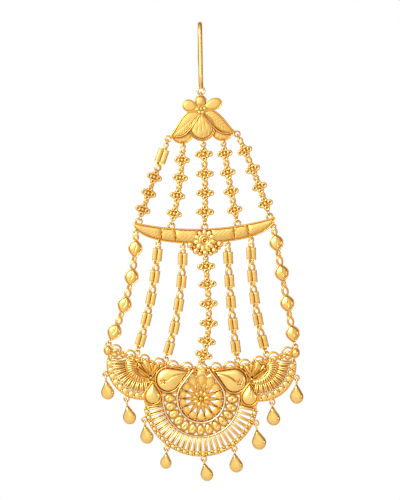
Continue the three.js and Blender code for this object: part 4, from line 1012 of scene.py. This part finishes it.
def make_strand(strand):
    start, foot = strand["start"], strand["foot"]
    span = float(np.linalg.norm(foot - start))
    along = (foot - start) / span
    tilt = math.degrees(math.atan2(along[0], -along[1]))
    bow, skew = strand.get("bow", 0), strand.get("skew", 0)
    links, rings = Metal(), Metal()

    def sideways(t):
        return 4 * bow * t * (1 - t) * (1 + skew * (2 * t - 1))

    def put(metal, part, s):
        t = s / span
        x, y = start + along * s + np.array([-along[1], along[0]]) * sideways(t)
        lean = math.atan((sideways(t + 0.01) - sideways(t - 0.01)) / (0.02 * span))
        metal.put(part, x, y, tilt + math.degrees(lean))

    def put_ring(s, radius, wire, yaw, stretch=1.0):
        ring = Metal()
        ring.ring(0, 0, radius, wire, yaw=yaw, stretch=stretch, sides=20, wire_sides=7)
        put(rings, ring, s)

    def join(upper_end, lower_end, count):
        """Open rings, hooked into each other, from one link's foot to the next one's head."""
        each = (lower_end - upper_end + 2 * JOINT_WIRE * count) / (2 * count)
        head = upper_end - JOINT_WIRE
        for share, widest, yaw in JOINT_RINGS[count]:
            half = each * share
            half_width = min(half - JOINT_WIRE, widest)
            put_ring(head + half, half_width, JOINT_WIRE, yaw, stretch=(half - JOINT_WIRE) / half_width)
            head += 2 * (half - JOINT_WIRE)

    held = CORNER_RING if strand.get("corner") else EYELET
    first = held["radius"] - held["wire"] - RUNNING_GAP - LINK_RING["wire"] + LINK_RING["radius"]
    if strand.get("corner"):
        put_ring(first, LINK_RING["radius"], LINK_RING["wire"], 90)
        first += 2 * LINK_RING["radius"] - LINK_RING["wire"]
    last = span - strand["end"]["radius"]
    last -= EYELET["radius"] - EYELET["wire"] - strand["end"]["wire"] - RUNNING_GAP
    put_ring(first, LINK_RING["radius"], LINK_RING["wire"], 10)
    put_ring(last, EYELET["radius"], EYELET["wire"], 80)
    ends_above, end_of_links = first + LINK_RING["radius"], last - EYELET["radius"]
    chosen = [LINKS[kind] for kind in strand["links"]]
    at = ends_above + strand.get("stem", 0)
    bare = end_of_links - at - sum(above + below for made, above, below in chosen)
    for (made, above, below), lower in zip(chosen, strand.get("lower", [0] * len(chosen))):
        head = at + lower
        if head - ends_above > LEAST_JOINT:
            join(ends_above, head, 1 if head - ends_above < TWO_RINGS_FROM else 2)
        put(links, made, head + above)
        ends_above = head + above + below
        at += above + below + bare / (len(chosen) - 1)
    if end_of_links - ends_above > LEAST_JOINT:
        join(ends_above, end_of_links, 1)
    finish = brushed if any("barrel" in kind for kind in strand["links"]) else link_gold
    links.make(strand["name"] + "_links", finish, "polished_gold", [strand["name"]])
    rings.make(strand["name"] + "_rings", polished, "polished_gold")


for strand in UPPER + LOWER:
    make_strand(strand)

# Drops: hollow teardrops, pressed in two halves from thin gold sheet and polished. Each swings by its own
# long, edge-on loop in a ring on the fan's rim.
DROP = {"radius": 2.45, "tip": 4.7, "half_thick": 1.4112, "turned": -18}

puffed = gold("puffed gold", (1.0, 0.74, 0.26), (0.55, 0.16, 0.01), (0.17, 0.24), 1800.0, 0.000008)
drop = Metal()
outline = drop_outline(DROP["radius"], DROP["tip"], 60)
for facing in (1, -1):
    half_shell = Metal()
    dome(half_shell, outline, (0, -0.15), swelling(DROP["half_thick"], 0.35, 2.2), back=-0.05, steps=16,
         relief=lambda x, y, s: -0.12 * np.exp(-(((x + 0.1) / 0.35) ** 2 + ((y + 1.1) / 0.25) ** 2)))
    drop.add(np.concatenate(half_shell.corners) * (facing, 1, facing), half_shell.faces)
drop.wire(raised(outline, 0.0), 0.2, 6, closed=True)
turned = math.radians(DROP["turned"])
sx, sy, sz = np.concatenate(drop.corners).T
shell = np.stack([sx * math.cos(turned) + sz * math.sin(turned), sy,
                  sz * math.cos(turned) - sx * math.sin(turned)], -1)
for k, (ring, hanging) in enumerate(zip(drop_rings, DROPS)):
    inside = (EYELET["radius"] - EYELET["wire"]) * hanging["loop"]
    hang = inside - FAN_RING["wire"] - RUNNING_GAP
    loop_above = DROP["tip"] * hanging["size"] + inside
    looped, lowered, swung = Metal(), Metal(), Metal()
    looped.add(shell * hanging["size"], drop.faces)
    looped.ring(0, loop_above, EYELET["radius"], EYELET["wire"] + 0.05, yaw=90, stretch=hanging["loop"],
                sides=28)
    lowered.put(looped, 0, -loop_above - hang)
    x, y = on_plaque(FAN, ring)
    swung.put(lowered, x, y - FAN_RING["radius"], hanging["lean"])
    swung.make(f"drop_{k + 1}_body", puffed, "satin_gold", [f"drop_{k + 1}"])
